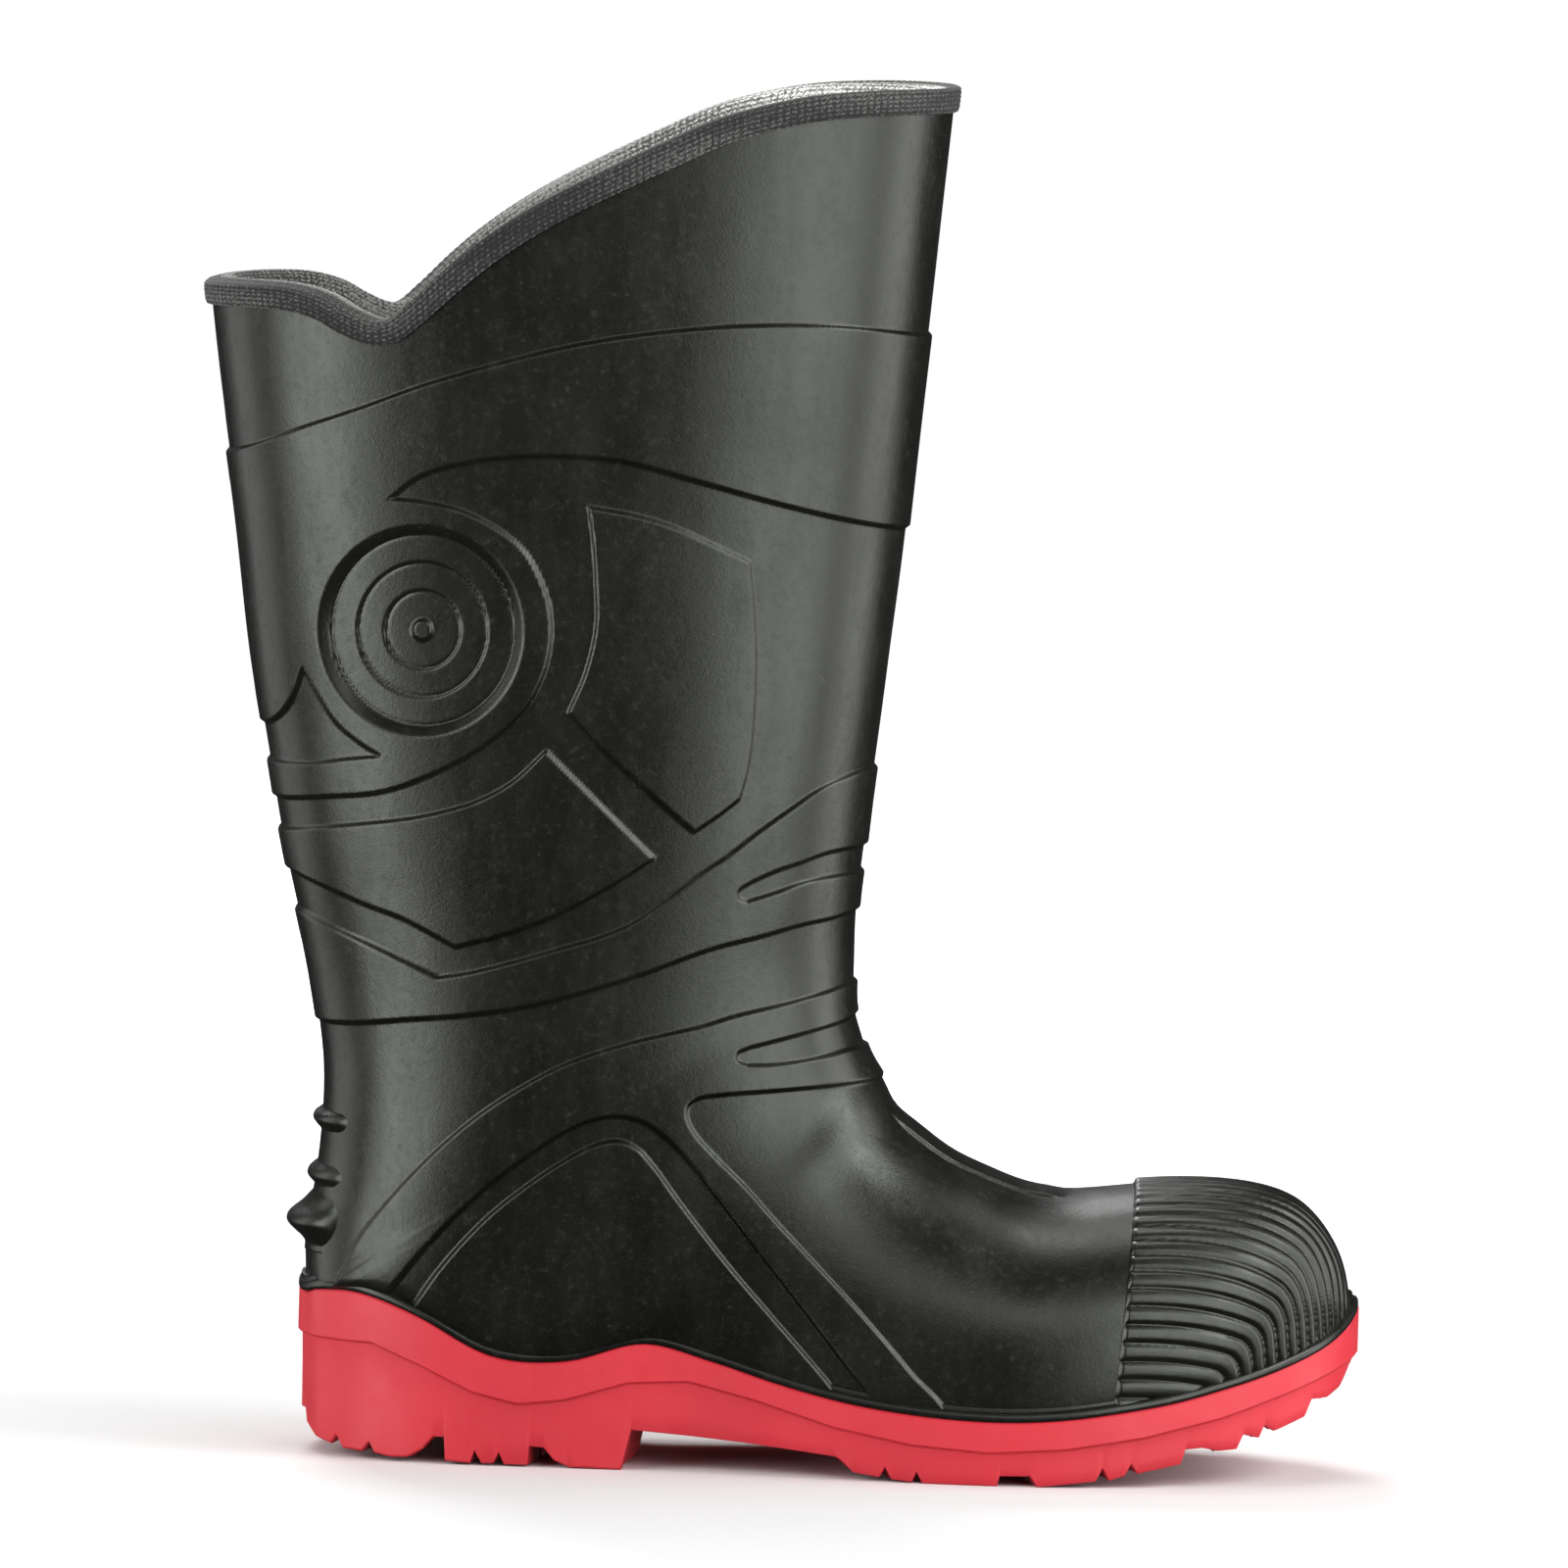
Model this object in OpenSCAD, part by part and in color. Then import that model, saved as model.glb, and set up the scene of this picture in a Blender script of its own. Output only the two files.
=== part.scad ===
// Tall moulded fire boot, right foot: polymer upper with safety toe, plate and shank.
// Frame: X to the toe, Y to the inner side of the foot, Z up, floor at Z = 0.

/* [Upper wall] */
// Wall of the moulded upper on the leg and the vamp
upper_wall = 3.2; // [2.4:0.1:4]
// Facets on a quarter of each section of the upper
quarter_facets = 10; // [6:1:12]

/* [Lining] */
// Thickness of the knitted lining sock
lining_t = 1.2; // [0.8:0.1:2]
// Gap between the upper and its lining
lining_gap = 0.3; // [0.2:0.1:1]

/* [Toe protection] */
// Sheet thickness of the steel toe cap
cap_t = 1.8; // [1.5:0.1:2]
// Section number where the steel toe cap ends
cap_end = 8; // [7:1:9]
// Height of the ribs on the outside toe guard
guard_t = 1.4; // [0.8:0.1:2]

/* [Bottom pack] */
// Thickness of the steel midsole plate
plate_t = 0.8; // [0.5:0.1:1.2]
// Thickness of the ladder shank
shank_t = 1.4; // [1:0.1:2]
// Width of the ladder shank
shank_w = 18; // [14:1:24]
// Thickness of the insole board
board_t = 2.6; // [2.4:0.1:3.5]
// Thickness of the removable footbed
footbed_t = 4.6; // [3:0.1:6]
// Clear space left round the removable footbed
footbed_gap = 0.5; // [0.3:0.1:1]

/* [Collar] */
// Height of the knitted binding below the collar edge
bind_h = 5; // [4:0.5:12]
// Thickness of the binding on each face
bind_t = 1.5; // [1:0.1:2]

/* [Outsole] */
// Width of the sole ledge outside the upper
ledge_w = 3.2; // [2:0.1:5]
// Depth of the tread grooves
groove_d = 5; // [3:0.5:6]
// Height of the black bead that stands on the sole ledge
bead_h = 3; // [2:0.1:4]

/* [Node] */
// Which sub-part is drawn

/* [Hidden] */
black = [0.07, 0.07, 0.065];
red = [0.72, 0.07, 0.06];
knit = [0.05, 0.05, 0.05];
steel = [0.62, 0.63, 0.65];
cream = [0.78, 0.76, 0.72];
board_col = [0.62, 0.52, 0.38];
foam = [0.24, 0.25, 0.27];

// Sections of the boot from the toe to above the collar.
// front x, front z, back x, back z, half width, half width at the back or bottom edge,
// place of the widest point, middle line y, bottom thickness, roundness
SECTIONS = [
    [163.6, 50.4, 164.3, 47.8, 3.4, 2.6, 0.45, 9, 1, 2.2],
    [163.2, 52.4, 163.7, 46.2, 10, 9, 0.45, 9, 1.6, 2.2],
    [161.8, 58.6, 161.4, 43, 18, 16.5, 0.42, 8.8, 2.6, 2.2],
    [158.4, 66, 157.6, 40, 26, 24.5, 0.38, 8.3, 3, 2.2],
    [152.8, 73.2, 151.8, 36.8, 33, 31.5, 0.34, 7.6, 3.2, 2.2],
    [145.2, 78.2, 143.2, 33, 39.5, 37.5, 0.31, 6.6, 3.4, 2.2],
    [133.6, 81, 130.6, 28.8, 45.5, 43, 0.29, 5.2, 3.6, 2.2],
    [119, 81.8, 115, 24.4, 49.5, 47, 0.28, 3.6, 4, 2.2],
    [103, 81, 98, 21.2, 52.2, 50, 0.27, 2, 4.6, 2.15],
    [87, 79.4, 80, 18.8, 53.5, 51.5, 0.27, 0.8, 5.4, 2.1],
    [73.5, 80.2, 62, 18.2, 53, 51, 0.28, 0, 6, 2.05],
    [61.5, 84.4, 44, 19.2, 51, 49, 0.29, -0.6, 6.6, 2.05],
    [51, 89.2, 25, 21.6, 48.5, 46, 0.31, -1, 7, 2.05],
    [42.4, 95.2, 5, 26, 46, 42.5, 0.33, -1, 7, 2.05],
    [35, 101.6, -15, 31.8, 44.5, 40, 0.36, -0.8, 8, 2.1],
    [31, 108.6, -35, 36.2, 44, 38.6, 0.39, -0.5, 8, 2.15],
    [26.6, 115.6, -57, 30.4, 43.8, 38.2, 0.42, -0.2, 15, 2.2],
    [23.8, 122.6, -78, 31.4, 43.6, 38, 0.45, 0, 19, 2.25],
    [21.8, 129.6, -98, 41.6, 43.4, 36, 0.47, 0, 12, 2.3],
    [21.4, 137, -114, 47.2, 43.4, 30.5, 0.48, 0, 7, 2.3],
    [21.4, 145, -126, 46.8, 43.4, 20, 0.49, 0, 5.4, 2.3],
    [21.4, 154, -132.2, 45.8, 43.6, 8, 0.5, 0, 4.2, 2.3],
    [22, 164, -132.6, 59, 44, 3, 0.5, 0, 4, 2.3],
    [23.2, 176, -129.8, 76, 44.6, 2, 0.5, 0, 3.8, 2.3],
    [24.4, 189, -128.3, 92, 45.2, 2, 0.5, 0, 3.6, 2.3],
    [25.9, 203, -128.2, 109, 46, 2, 0.5, 0, 3.5, 2.3],
    [27.5, 218, -130.8, 128, 46.8, 2, 0.5, 0, 3.4, 2.3],
    [29.2, 235, -135.4, 149, 47.6, 2, 0.5, 0, 3.4, 2.3],
    [31.3, 255, -141, 172, 48.4, 2, 0.5, 0, 3.4, 2.3],
    [33.3, 278, -146, 198, 49.6, 2, 0.5, 0, 3.4, 2.3],
    [35.4, 303, -151.4, 227, 51, 2, 0.5, 0, 3.4, 2.35],
    [37.8, 330, -155.8, 259, 52.6, 2, 0.5, 0, 3.4, 2.4],
    [40, 357, -160.8, 291, 54, 2, 0.5, 0, 3.4, 2.4],
    [42, 381, -165, 320, 55.2, 2, 0.5, 0, 3.4, 2.4],
    [43.6, 403, -169, 352, 56, 2, 0.5, 0, 3.4, 2.4]
];
LAST = len(SECTIONS) - 1;
// Section from which the rows start to follow the collar edge
TRIM = 30;
// Collar edge seen from the side: x, z
COLLAR = [[-176, 328], [-152, 329], [-142, 328.5], [-134, 326.5], [-127, 323], [-121, 320.6],
    [-117, 320], [-113, 321.2], [-107, 326], [-98, 334.5], [-90, 341.5], [-80, 349], [-68, 356.5],
    [-53, 364.5], [-38, 372], [-23, 379], [-10, 383], [4, 386], [20, 387.5], [36, 388], [54, 388]];
// Lower edge of the sole lip seen from the side: x, z
LIP = [[-140, 33], [-112, 33.5], [-98, 28], [-83, 21], [-70, 18], [-57, 19.5], [-39, 25],
    [-22, 26], [-3, 21.5], [19, 15], [41, 11], [63, 9.5], [85, 11], [107, 14.5], [129, 20],
    [149, 27], [172, 36]];
// Tread surface seen from the side: x, z
TREAD = [[-140, 24], [-131, 14], [-128, 5], [-120, 2], [-106, 0], [-41, 0], [-38, 11],
    [-20, 10.4], [20, 6.4], [25, 2.2], [34, 0.6], [44, 0], [80, 0], [94, 1.4], [104, 3.6],
    [118, 7], [134, 11], [144, 15.4], [152, 19], [160, 24], [166, 30], [172, 36]];

function clamp(v, a, b) = min(max(v, a), b);
function cr(a, b, c, d, t) = 0.5 * (2 * b + (c - a) * t + (2 * a - 5 * b + 4 * c - d) * t * t
    + (3 * b - a - 3 * c + d) * t * t * t);
function sec(u) = let (i = clamp(floor(u), 0, LAST - 1), t = u - i)
    cr(i > 0 ? SECTIONS[i - 1] : 2 * SECTIONS[0] - SECTIONS[1], SECTIONS[i], SECTIONS[i + 1],
       i + 2 <= LAST ? SECTIONS[i + 2] : 2 * SECTIONS[LAST] - SECTIONS[LAST - 1], t);
function tab(t, x) = lookup(x, t);

// A point of a section: u the section, q the facet (0 to 4 * quarter_facets),
// df, db, dw the distance inwards at the front, at the back or bottom, and at the sides,
// lift how much higher than that the bottom edge stands
function ring_pt(u, q, df, db, dw, lift = 0) = let (
        s = sec(u), n = quarter_facets, half = 2 * n,
        sgn = q <= half ? 1 : -1, k = q <= half ? q : 4 * n - q,
        f = [s[0], s[1]], b = [s[2], s[3]], l = norm(f - b), d = (f - b) / l,
        a0 = db, a1 = l - df, w = s[4] - dw, e = max(min(s[5] - dw, w - 0.2), 1),
        m = 2 / s[9],
        low = k <= n, g = low ? 90 * k / n : 90 * (k - n) / n,
        am = a0 + (a1 - a0) * s[6],
        a = low ? a0 + lift + (am - a0 - lift) * (1 - pow(cos(g), m)) : am + (a1 - am) * pow(sin(g), m),
        y = low ? e + (w - e) * pow(sin(g), m) : w * pow(max(cos(g), 0), m))
    [b[0] + d[0] * a, s[7] + sgn * y, b[1] + d[1] * a];
RINGN = 4 * quarter_facets + 1;

// Section number where a line along the leg meets the collar edge
function over(u, q) = let (p = ring_pt(u, q, 0, 0, 0)) p[2] - tab(COLLAR, p[0]);
function bisect(q, a, b, i) = i == 0 ? (a + b) / 2
    : over((a + b) / 2, q) > 0 ? bisect(q, a, (a + b) / 2, i - 1) : bisect(q, (a + b) / 2, b, i - 1);
TOP = [for (q = [0:RINGN - 1]) bisect(q, TRIM, LAST, 14)];
function row_u(r, q) = r <= TRIM ? r : TRIM + (TOP[q] - TRIM) * (r - TRIM) / (LAST - TRIM);

// Rows of the whole boot, closer together at the toe
ROWS = concat([for (r = [0:0.5:9]) r], [for (r = [10:1:14]) r], [for (r = [14.5:0.5:21]) r],
    [for (r = [22:1:LAST]) r]);
function rows_from(a, b) = [for (r = ROWS) if (r > a && r < b) r];

// Offsets of each layer: the upper's inner face, and the lining
function ramp(u, a, b) = let (t = clamp((u - a) / (b - a), 0, 1)) t * t * (3 - 2 * t);
function bottom(u) = sec(u)[8];
function upper_in(u, q) = ring_pt(u, q, upper_wall, upper_wall > bottom(u) ? upper_wall : bottom(u),
    upper_wall);
function lin_d(u) = upper_wall + lining_gap + (cap_t + 0.2) * (1 - ramp(u, cap_end + 1, cap_end + 3));
function stack(u) = (plate_t + board_t + 0.1) * (1 - ramp(u, 19.6, 22));
function lin_b(u) = max(upper_wall, bottom(u)) + lining_gap;
function lin_pt(u, q, t) = ring_pt(u, q, lin_d(u) + t, lin_b(u) + t, lin_d(u) + t, stack(u));

function quads(r0, r1, n, flip, turn = false) = [for (i = [0:n - 1]) let (j = (i + 1) % n,
    a = r0 * n + i, b = r0 * n + j, c = r1 * n + j, d = r1 * n + i)
    each turn ? [[a, b, d], [b, c, d]] : flip ? [[a, c, b], [a, d, c]] : [[a, b, c], [a, c, d]]];
function fan(r, n, centre, flip) = [for (i = [0:n - 1]) let (j = (i + 1) % n)
    flip ? [r * n + i, r * n + j, centre] : [r * n + j, r * n + i, centre]];
function mean(l) = [for (k = [0:2]) [for (v = l) v[k]] * [for (v = l) 1] / len(l)];

// Closed tube of rings; every ring has the same number of points. From ring `turn` on the
// faces are split along the other diagonal, so the two sides of a wall match
module skin(rings, turn = 1000) {
    n = len(rings[0]);
    m = len(rings);
    pts = [for (r = rings) each r, mean(rings[0]), mean(rings[m - 1])];
    polyhedron(pts, concat(fan(0, n, n * m, false),
        [for (k = [0:m - 2]) each quads(k, k + 1, n, false, k >= turn)],
        fan(m - 1, n, n * m + 1, true)), convexity = 8);
}

// Closed hoop of profiles: the last profile joins the first
module hoop(rings) {
    n = len(rings[0]);
    m = len(rings);
    polyhedron([for (r = rings) each r],
        [for (k = [0:m - 1]) each quads(k, (k + 1) % m, n, true)], convexity = 8);
}

// Curved band: each ring goes along one face and back along the other, so its ends are ladders
function ladder(o, n, flip) = [for (k = [0:n / 2 - 2]) let (a = o + k, b = o + k + 1,
    c = o + n - 2 - k, d = o + n - 1 - k) each flip ? [[a, b, c], [a, c, d]] : [[a, c, b], [a, d, c]]];
module band(rings) {
    n = len(rings[0]);
    m = len(rings);
    polyhedron([for (r = rings) each r], concat(ladder(0, n, false),
        [for (k = [0:m - 2]) each quads(k, k + 1, n, false)],
        ladder((m - 1) * n, n, true)), convexity = 8);
}

// Open-topped shell: outer rings up, over the rim, inner rings down
module shell(outer, inner) {
    skin(concat(outer, [for (k = [len(inner) - 1:-1:0]) inner[k]]), len(outer));
}

function outer_rings(a, b) = [for (r = concat([a], rows_from(a, b), [b]))
    [for (q = [0:RINGN - 1]) ring_pt(row_u(r, q), q, 0, 0, 0)]];

// Solid bounded by the outside of the upper, used to cut what stands against it
module foot_form() {
    skin([for (r = ROWS) if (r <= 29) [for (q = [0:RINGN - 1]) ring_pt(r, q, 0, 0, 0)]]);
}

module upper() {
    color(black)
    shell(outer_rings(0, LAST),
        [for (r = concat([3.6], rows_from(3.6, LAST), [LAST]))
            [for (q = [0:RINGN - 1]) let (u = row_u(r, q)) upper_in(u, q)]]);
}

module lining() {
    color(cream)
    shell([for (r = concat([4.4], rows_from(4.4, LAST), [LAST]))
            [for (q = [0:RINGN - 1]) lin_pt(row_u(r, q), q, 0)]],
        [for (r = concat([4.7], rows_from(4.7, LAST), [LAST]))
            [for (q = [0:RINGN - 1]) lin_pt(row_u(r, q), q, lining_t)]]);
}

// Band over the top and the sides of the toe between two depths
function band_q() = [for (q = [2:RINGN - 3]) q];
function toe_band(r, t) = [for (q = band_q())
    ring_pt(r, q, upper_wall + t, max(upper_wall, bottom(r)), upper_wall + t)];
module steel_toe_cap() {
    rows = concat([3.7], rows_from(3.7, cap_end), [cap_end]);
    color(steel)
    band([for (r = rows) concat(toe_band(r, 0.05), [for (k = [len(band_q()) - 1:-1:0])
        toe_band(r, 0.05 + cap_t)[k]])]);
}

module toe_cap_strip() {
    color(foam)
    band([for (r = [cap_end + 0.06, cap_end + 0.5]) concat(toe_band(r, 0.1),
        [for (k = [len(band_q()) - 1:-1:0]) toe_band(r, 0.1 + cap_t)[k]])]);
}

// Ribbed guard that lies on the outside of the toe
module toe_guard() {
    rows = [for (r = [0.5:0.5:8]) r];
    ids = [for (q = [1:RINGN - 2]) q];
    color(black)
    resize([0, 0, 0])
    difference() {
        band([for (r = rows) concat([for (q = ids) let (t = (q % 2 == 0 ? guard_t : guard_t - 0.6))
                ring_pt(r, q, -t, 0, -t)],
            [for (k = [len(ids) - 1:-1:0]) ring_pt(r, ids[k], -0.12, 0, -0.12)])]);
        bead_form(0.15);
        foot_form();
    }
}

// Strip that follows the bottom of the cavity between two heights above the floor
module strip(rows, t0, t1, half, dw) {
    skin([for (r = rows) let (s = sec(r), d = [s[0] - s[2], s[1] - s[3]] / norm([s[0] - s[2], s[1] - s[3]]),
            h = max(upper_wall, s[8]), w = half > 0 ? half : s[5] - dw,
            lo = [s[2], s[3]] + d * (h + t0), hi = [s[2], s[3]] + d * (h + t1))
        [[lo[0], s[7] + w, lo[1]], [hi[0], s[7] + w, hi[1]],
         [hi[0], s[7] - w, hi[1]], [lo[0], s[7] - w, lo[1]]]]);
}
function bed_rows(a, b) = concat([a], rows_from(a, b), [b]);

module steel_midsole() {
    color(steel)
    strip(bed_rows(4.2, 19.4), 0, plate_t, 0, upper_wall + 1.6);
}

module ladder_shank() {
    color(steel)
    strip(bed_rows(13, 17.5), plate_t + 0.05, plate_t + shank_t, shank_w / 2, 0);
}

module insole_board() {
    top = plate_t + board_t;
    mid = plate_t + shank_t + 0.05;
    in = shank_w / 2 + 0.5;
    color(board_col)
    band([for (r = bed_rows(4.5, 19.4)) let (s = sec(r), l = norm([s[0] - s[2], s[1] - s[3]]),
            d = [s[0] - s[2], s[1] - s[3]] / l, h = max(upper_wall, s[8]), w = s[5] - upper_wall - 2.2)
        [for (c = [[-w, plate_t], [-w, top], [w, top], [w, plate_t],
                [in, plate_t], [in, mid], [-in, mid], [-in, plate_t]])
            [s[2] + d[0] * (h + c[1]), s[7] - c[0], s[3] + d[1] * (h + c[1])]]]);
}

module footbed() {
    t0 = plate_t + board_t + 0.1 + lining_gap + lining_t + footbed_gap;
    color(foam)
    strip(bed_rows(6, 19), t0, t0 + footbed_t, 0, upper_wall + cap_t + lining_gap + lining_t + 2.4);
}

// Edge of the bottom at a section: x, half width, z, middle line y; END closes the heel
END = 99;
function base(u) = u == END ? [sec(21)[2] - 0.4, 1, sec(21)[3], 0]
    : let (s = sec(u)) [s[2], s[5], s[3], s[7]];
// The same edge moved out by d
function edge(u, d) = let (s = base(u), a = base(u == END ? 20.9 : max(u - 0.05, 0)),
        b = base(u == END ? END : u + 0.05), t = [b[0] - a[0], b[1] - a[1]] / norm([b[0] - a[0], b[1] - a[1]]))
    u == 0 ? [s[0] + d, s[1], 0] : u == END ? [s[0] - d, s[1], 0] : [s[0] + t[1] * d, s[1] - t[0] * d];
// Width of the ledge at a section: narrower behind the heel
function ledge_at(u) = ledge_w - 2 * ramp(min(u, 21), 17.5, 21);
SOLE_ROWS = concat([for (r = ROWS) if (r <= 21) r], [END]);
module sole_form() {
    skin([for (u = SOLE_ROWS) let (s = base(u), w = ledge_at(u), o = edge(u, w), m = edge(u, w - 1.2),
            g = edge(u, w - 2.4), zl = tab(LIP, o[0]), zt = tab(TREAD, g[0]), y = s[3])
        [[s[0], y + s[1], s[2]], [s[0], y - s[1], s[2]],
         [o[0], y - o[1], s[2] + 0.2], [o[0], y - o[1], zl], [m[0], y - m[1], zl - 0.8],
         [g[0], y - g[1], min(zt, zl - 2)], [g[0], y + g[1], min(zt, zl - 2)],
         [m[0], y + m[1], zl - 0.8], [o[0], y + o[1], zl], [o[0], y + o[1], s[2] + 0.2]]]);
}

// Tread groove across the sole between two places at the edge; its halves lean forward or back
module groove(x0, x1, slant, top) {
    for (m = [0, 1])
        mirror([0, m, 0])
        translate([0, 0, -1])
        linear_extrude(height = top + 1)
        polygon([[x0 + slant, -0.01], [x1 + slant, -0.01], [x1, 70], [x0, 70]]);
}

module outsole() {
    color(red)
    resize([0, 0, 0])
    difference() {
        sole_form();
        for (g = [[-112, -110.4], [-96, -90], [-83, -80.4], [-76.2, -73.6], [-66.4, -60]])
            groove(g[0], g[1], 6, groove_d);
        for (g = [[33, 35.4], [42, 44.4], [66, 76]])
            groove(g[0], g[1], -8, groove_d);
        groove(94, 96.6, -8, groove_d + 1.5);
        groove(102, 104.6, -8, groove_d + 3.5);
        groove(118, 128, -8, groove_d + 6);
        groove(134, 136, -7, groove_d + 10);
        groove(140.4, 142.4, -6, groove_d + 12);
        groove(154, 160, -4, groove_d + 18.6);
        // long grooves under the heel and the ball
        translate([-100, -4, -1])
        cube([50, 8, groove_d + 1]);
        translate([40, -3, -1])
        cube([70, 6, groove_d + 1]);
    }
}

// Bead round the feather edge, grown by g
module bead_form(g) {
    skin([for (u = SOLE_ROWS) let (s = base(u), y = s[3], w = ledge_at(u), ring = [for (c = [[-1.5, 0.2 - 5 * g],
            [w + g, 0.2 - 5 * g], [w + 0.3 + g, 1.2], [w - 0.3 + g, bead_h - 0.5 + g],
            [w - 1.3 + g, bead_h + g], [-1.5, bead_h + g]])
            let (o = edge(u, c[0])) [o[0], o[1], s[2] + c[1]]])
        concat([for (p = ring) [p[0], y + p[1], p[2]]],
            [for (k = [5:-1:0]) [ring[k][0], y - ring[k][1], ring[k][2]]])]);
}

module welt_bead() {
    color(black)
    resize([0, 0, 0])
    difference() {
        bead_form(0);
        foot_form();
        sole_form();
    }
}

// Kick-off ledges behind the heel: height of tip, how far back the tip stands, thickness
module ledge(z, back, t) {
    r = 33;
    translate([back + r, 0, 0])
    rotate([0, 0, 110])
    rotate_extrude(angle = 140, $fn = 60)
    polygon([[r - 10, z - t], [r - 2.2, z - 0.6 * t], [r, z], [r - 1.8, z + 0.45 * t], [r - 10, z + t]]);
}

module kick_ridges() {
    color(black)
    resize([0, 0, 0])
    difference() {
        union() {
            ledge(95, -131.6, 3.4);
            ledge(79, -133, 4.2);
            ledge(66, -137.6, 7.5);
        }
        foot_form();
    }
}

// Knitted binding folded over the collar edge
module collar_binding() {
    drop = bind_h / 30;
    color(knit)
    hoop([for (q = [0:RINGN - 1]) let (top = TOP[q] + 0.003, low = top - drop,
            t = lining_gap + lining_t + 0.15, tin = upper_wall + t, tb = max(upper_wall, bottom(top)) + t)
        [ring_pt(low, q, -0.15, -0.15, -0.15), ring_pt(low, q, -bind_t, -bind_t, -bind_t),
         ring_pt(top + 0.04, q, -bind_t, -bind_t, -bind_t), ring_pt(top + 0.06, q, 1.6, 1.6, 1.6),
         ring_pt(top + 0.04, q, tin + bind_t, tb + bind_t, tin + bind_t),
         ring_pt(low, q, tin + bind_t, tb + bind_t, tin + bind_t),
         ring_pt(low, q, tin, tb, tin), ring_pt(top, q, tin, tb, tin),
         ring_pt(top, q, -0.15, -0.15, -0.15)]]);
}

upper();
toe_guard();
kick_ridges();
collar_binding();
lining();
steel_toe_cap();
toe_cap_strip();
steel_midsole();
ladder_shank();
insole_board();
footbed();
outsole();
welt_bead();
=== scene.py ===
import math

import bpy
import numpy as np
from mathutils import Euler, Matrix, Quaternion, Vector


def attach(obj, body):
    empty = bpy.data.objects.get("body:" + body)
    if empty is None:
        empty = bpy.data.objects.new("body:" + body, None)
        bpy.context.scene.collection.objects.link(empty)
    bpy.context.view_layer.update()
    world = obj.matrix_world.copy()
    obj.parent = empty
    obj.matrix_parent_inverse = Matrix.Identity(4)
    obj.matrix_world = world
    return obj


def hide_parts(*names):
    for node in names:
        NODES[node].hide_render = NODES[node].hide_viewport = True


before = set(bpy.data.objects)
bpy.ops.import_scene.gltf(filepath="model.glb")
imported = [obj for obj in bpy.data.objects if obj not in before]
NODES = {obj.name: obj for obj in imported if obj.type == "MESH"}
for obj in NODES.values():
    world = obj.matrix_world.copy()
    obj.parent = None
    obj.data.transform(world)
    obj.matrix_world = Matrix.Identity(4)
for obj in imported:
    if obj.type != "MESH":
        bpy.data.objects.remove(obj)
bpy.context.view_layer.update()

# Lengths in this script are in millimetres until a mesh is made, and X runs to the toe,
# Y to the inner side of the foot and Z up, as in the CAD.

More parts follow.
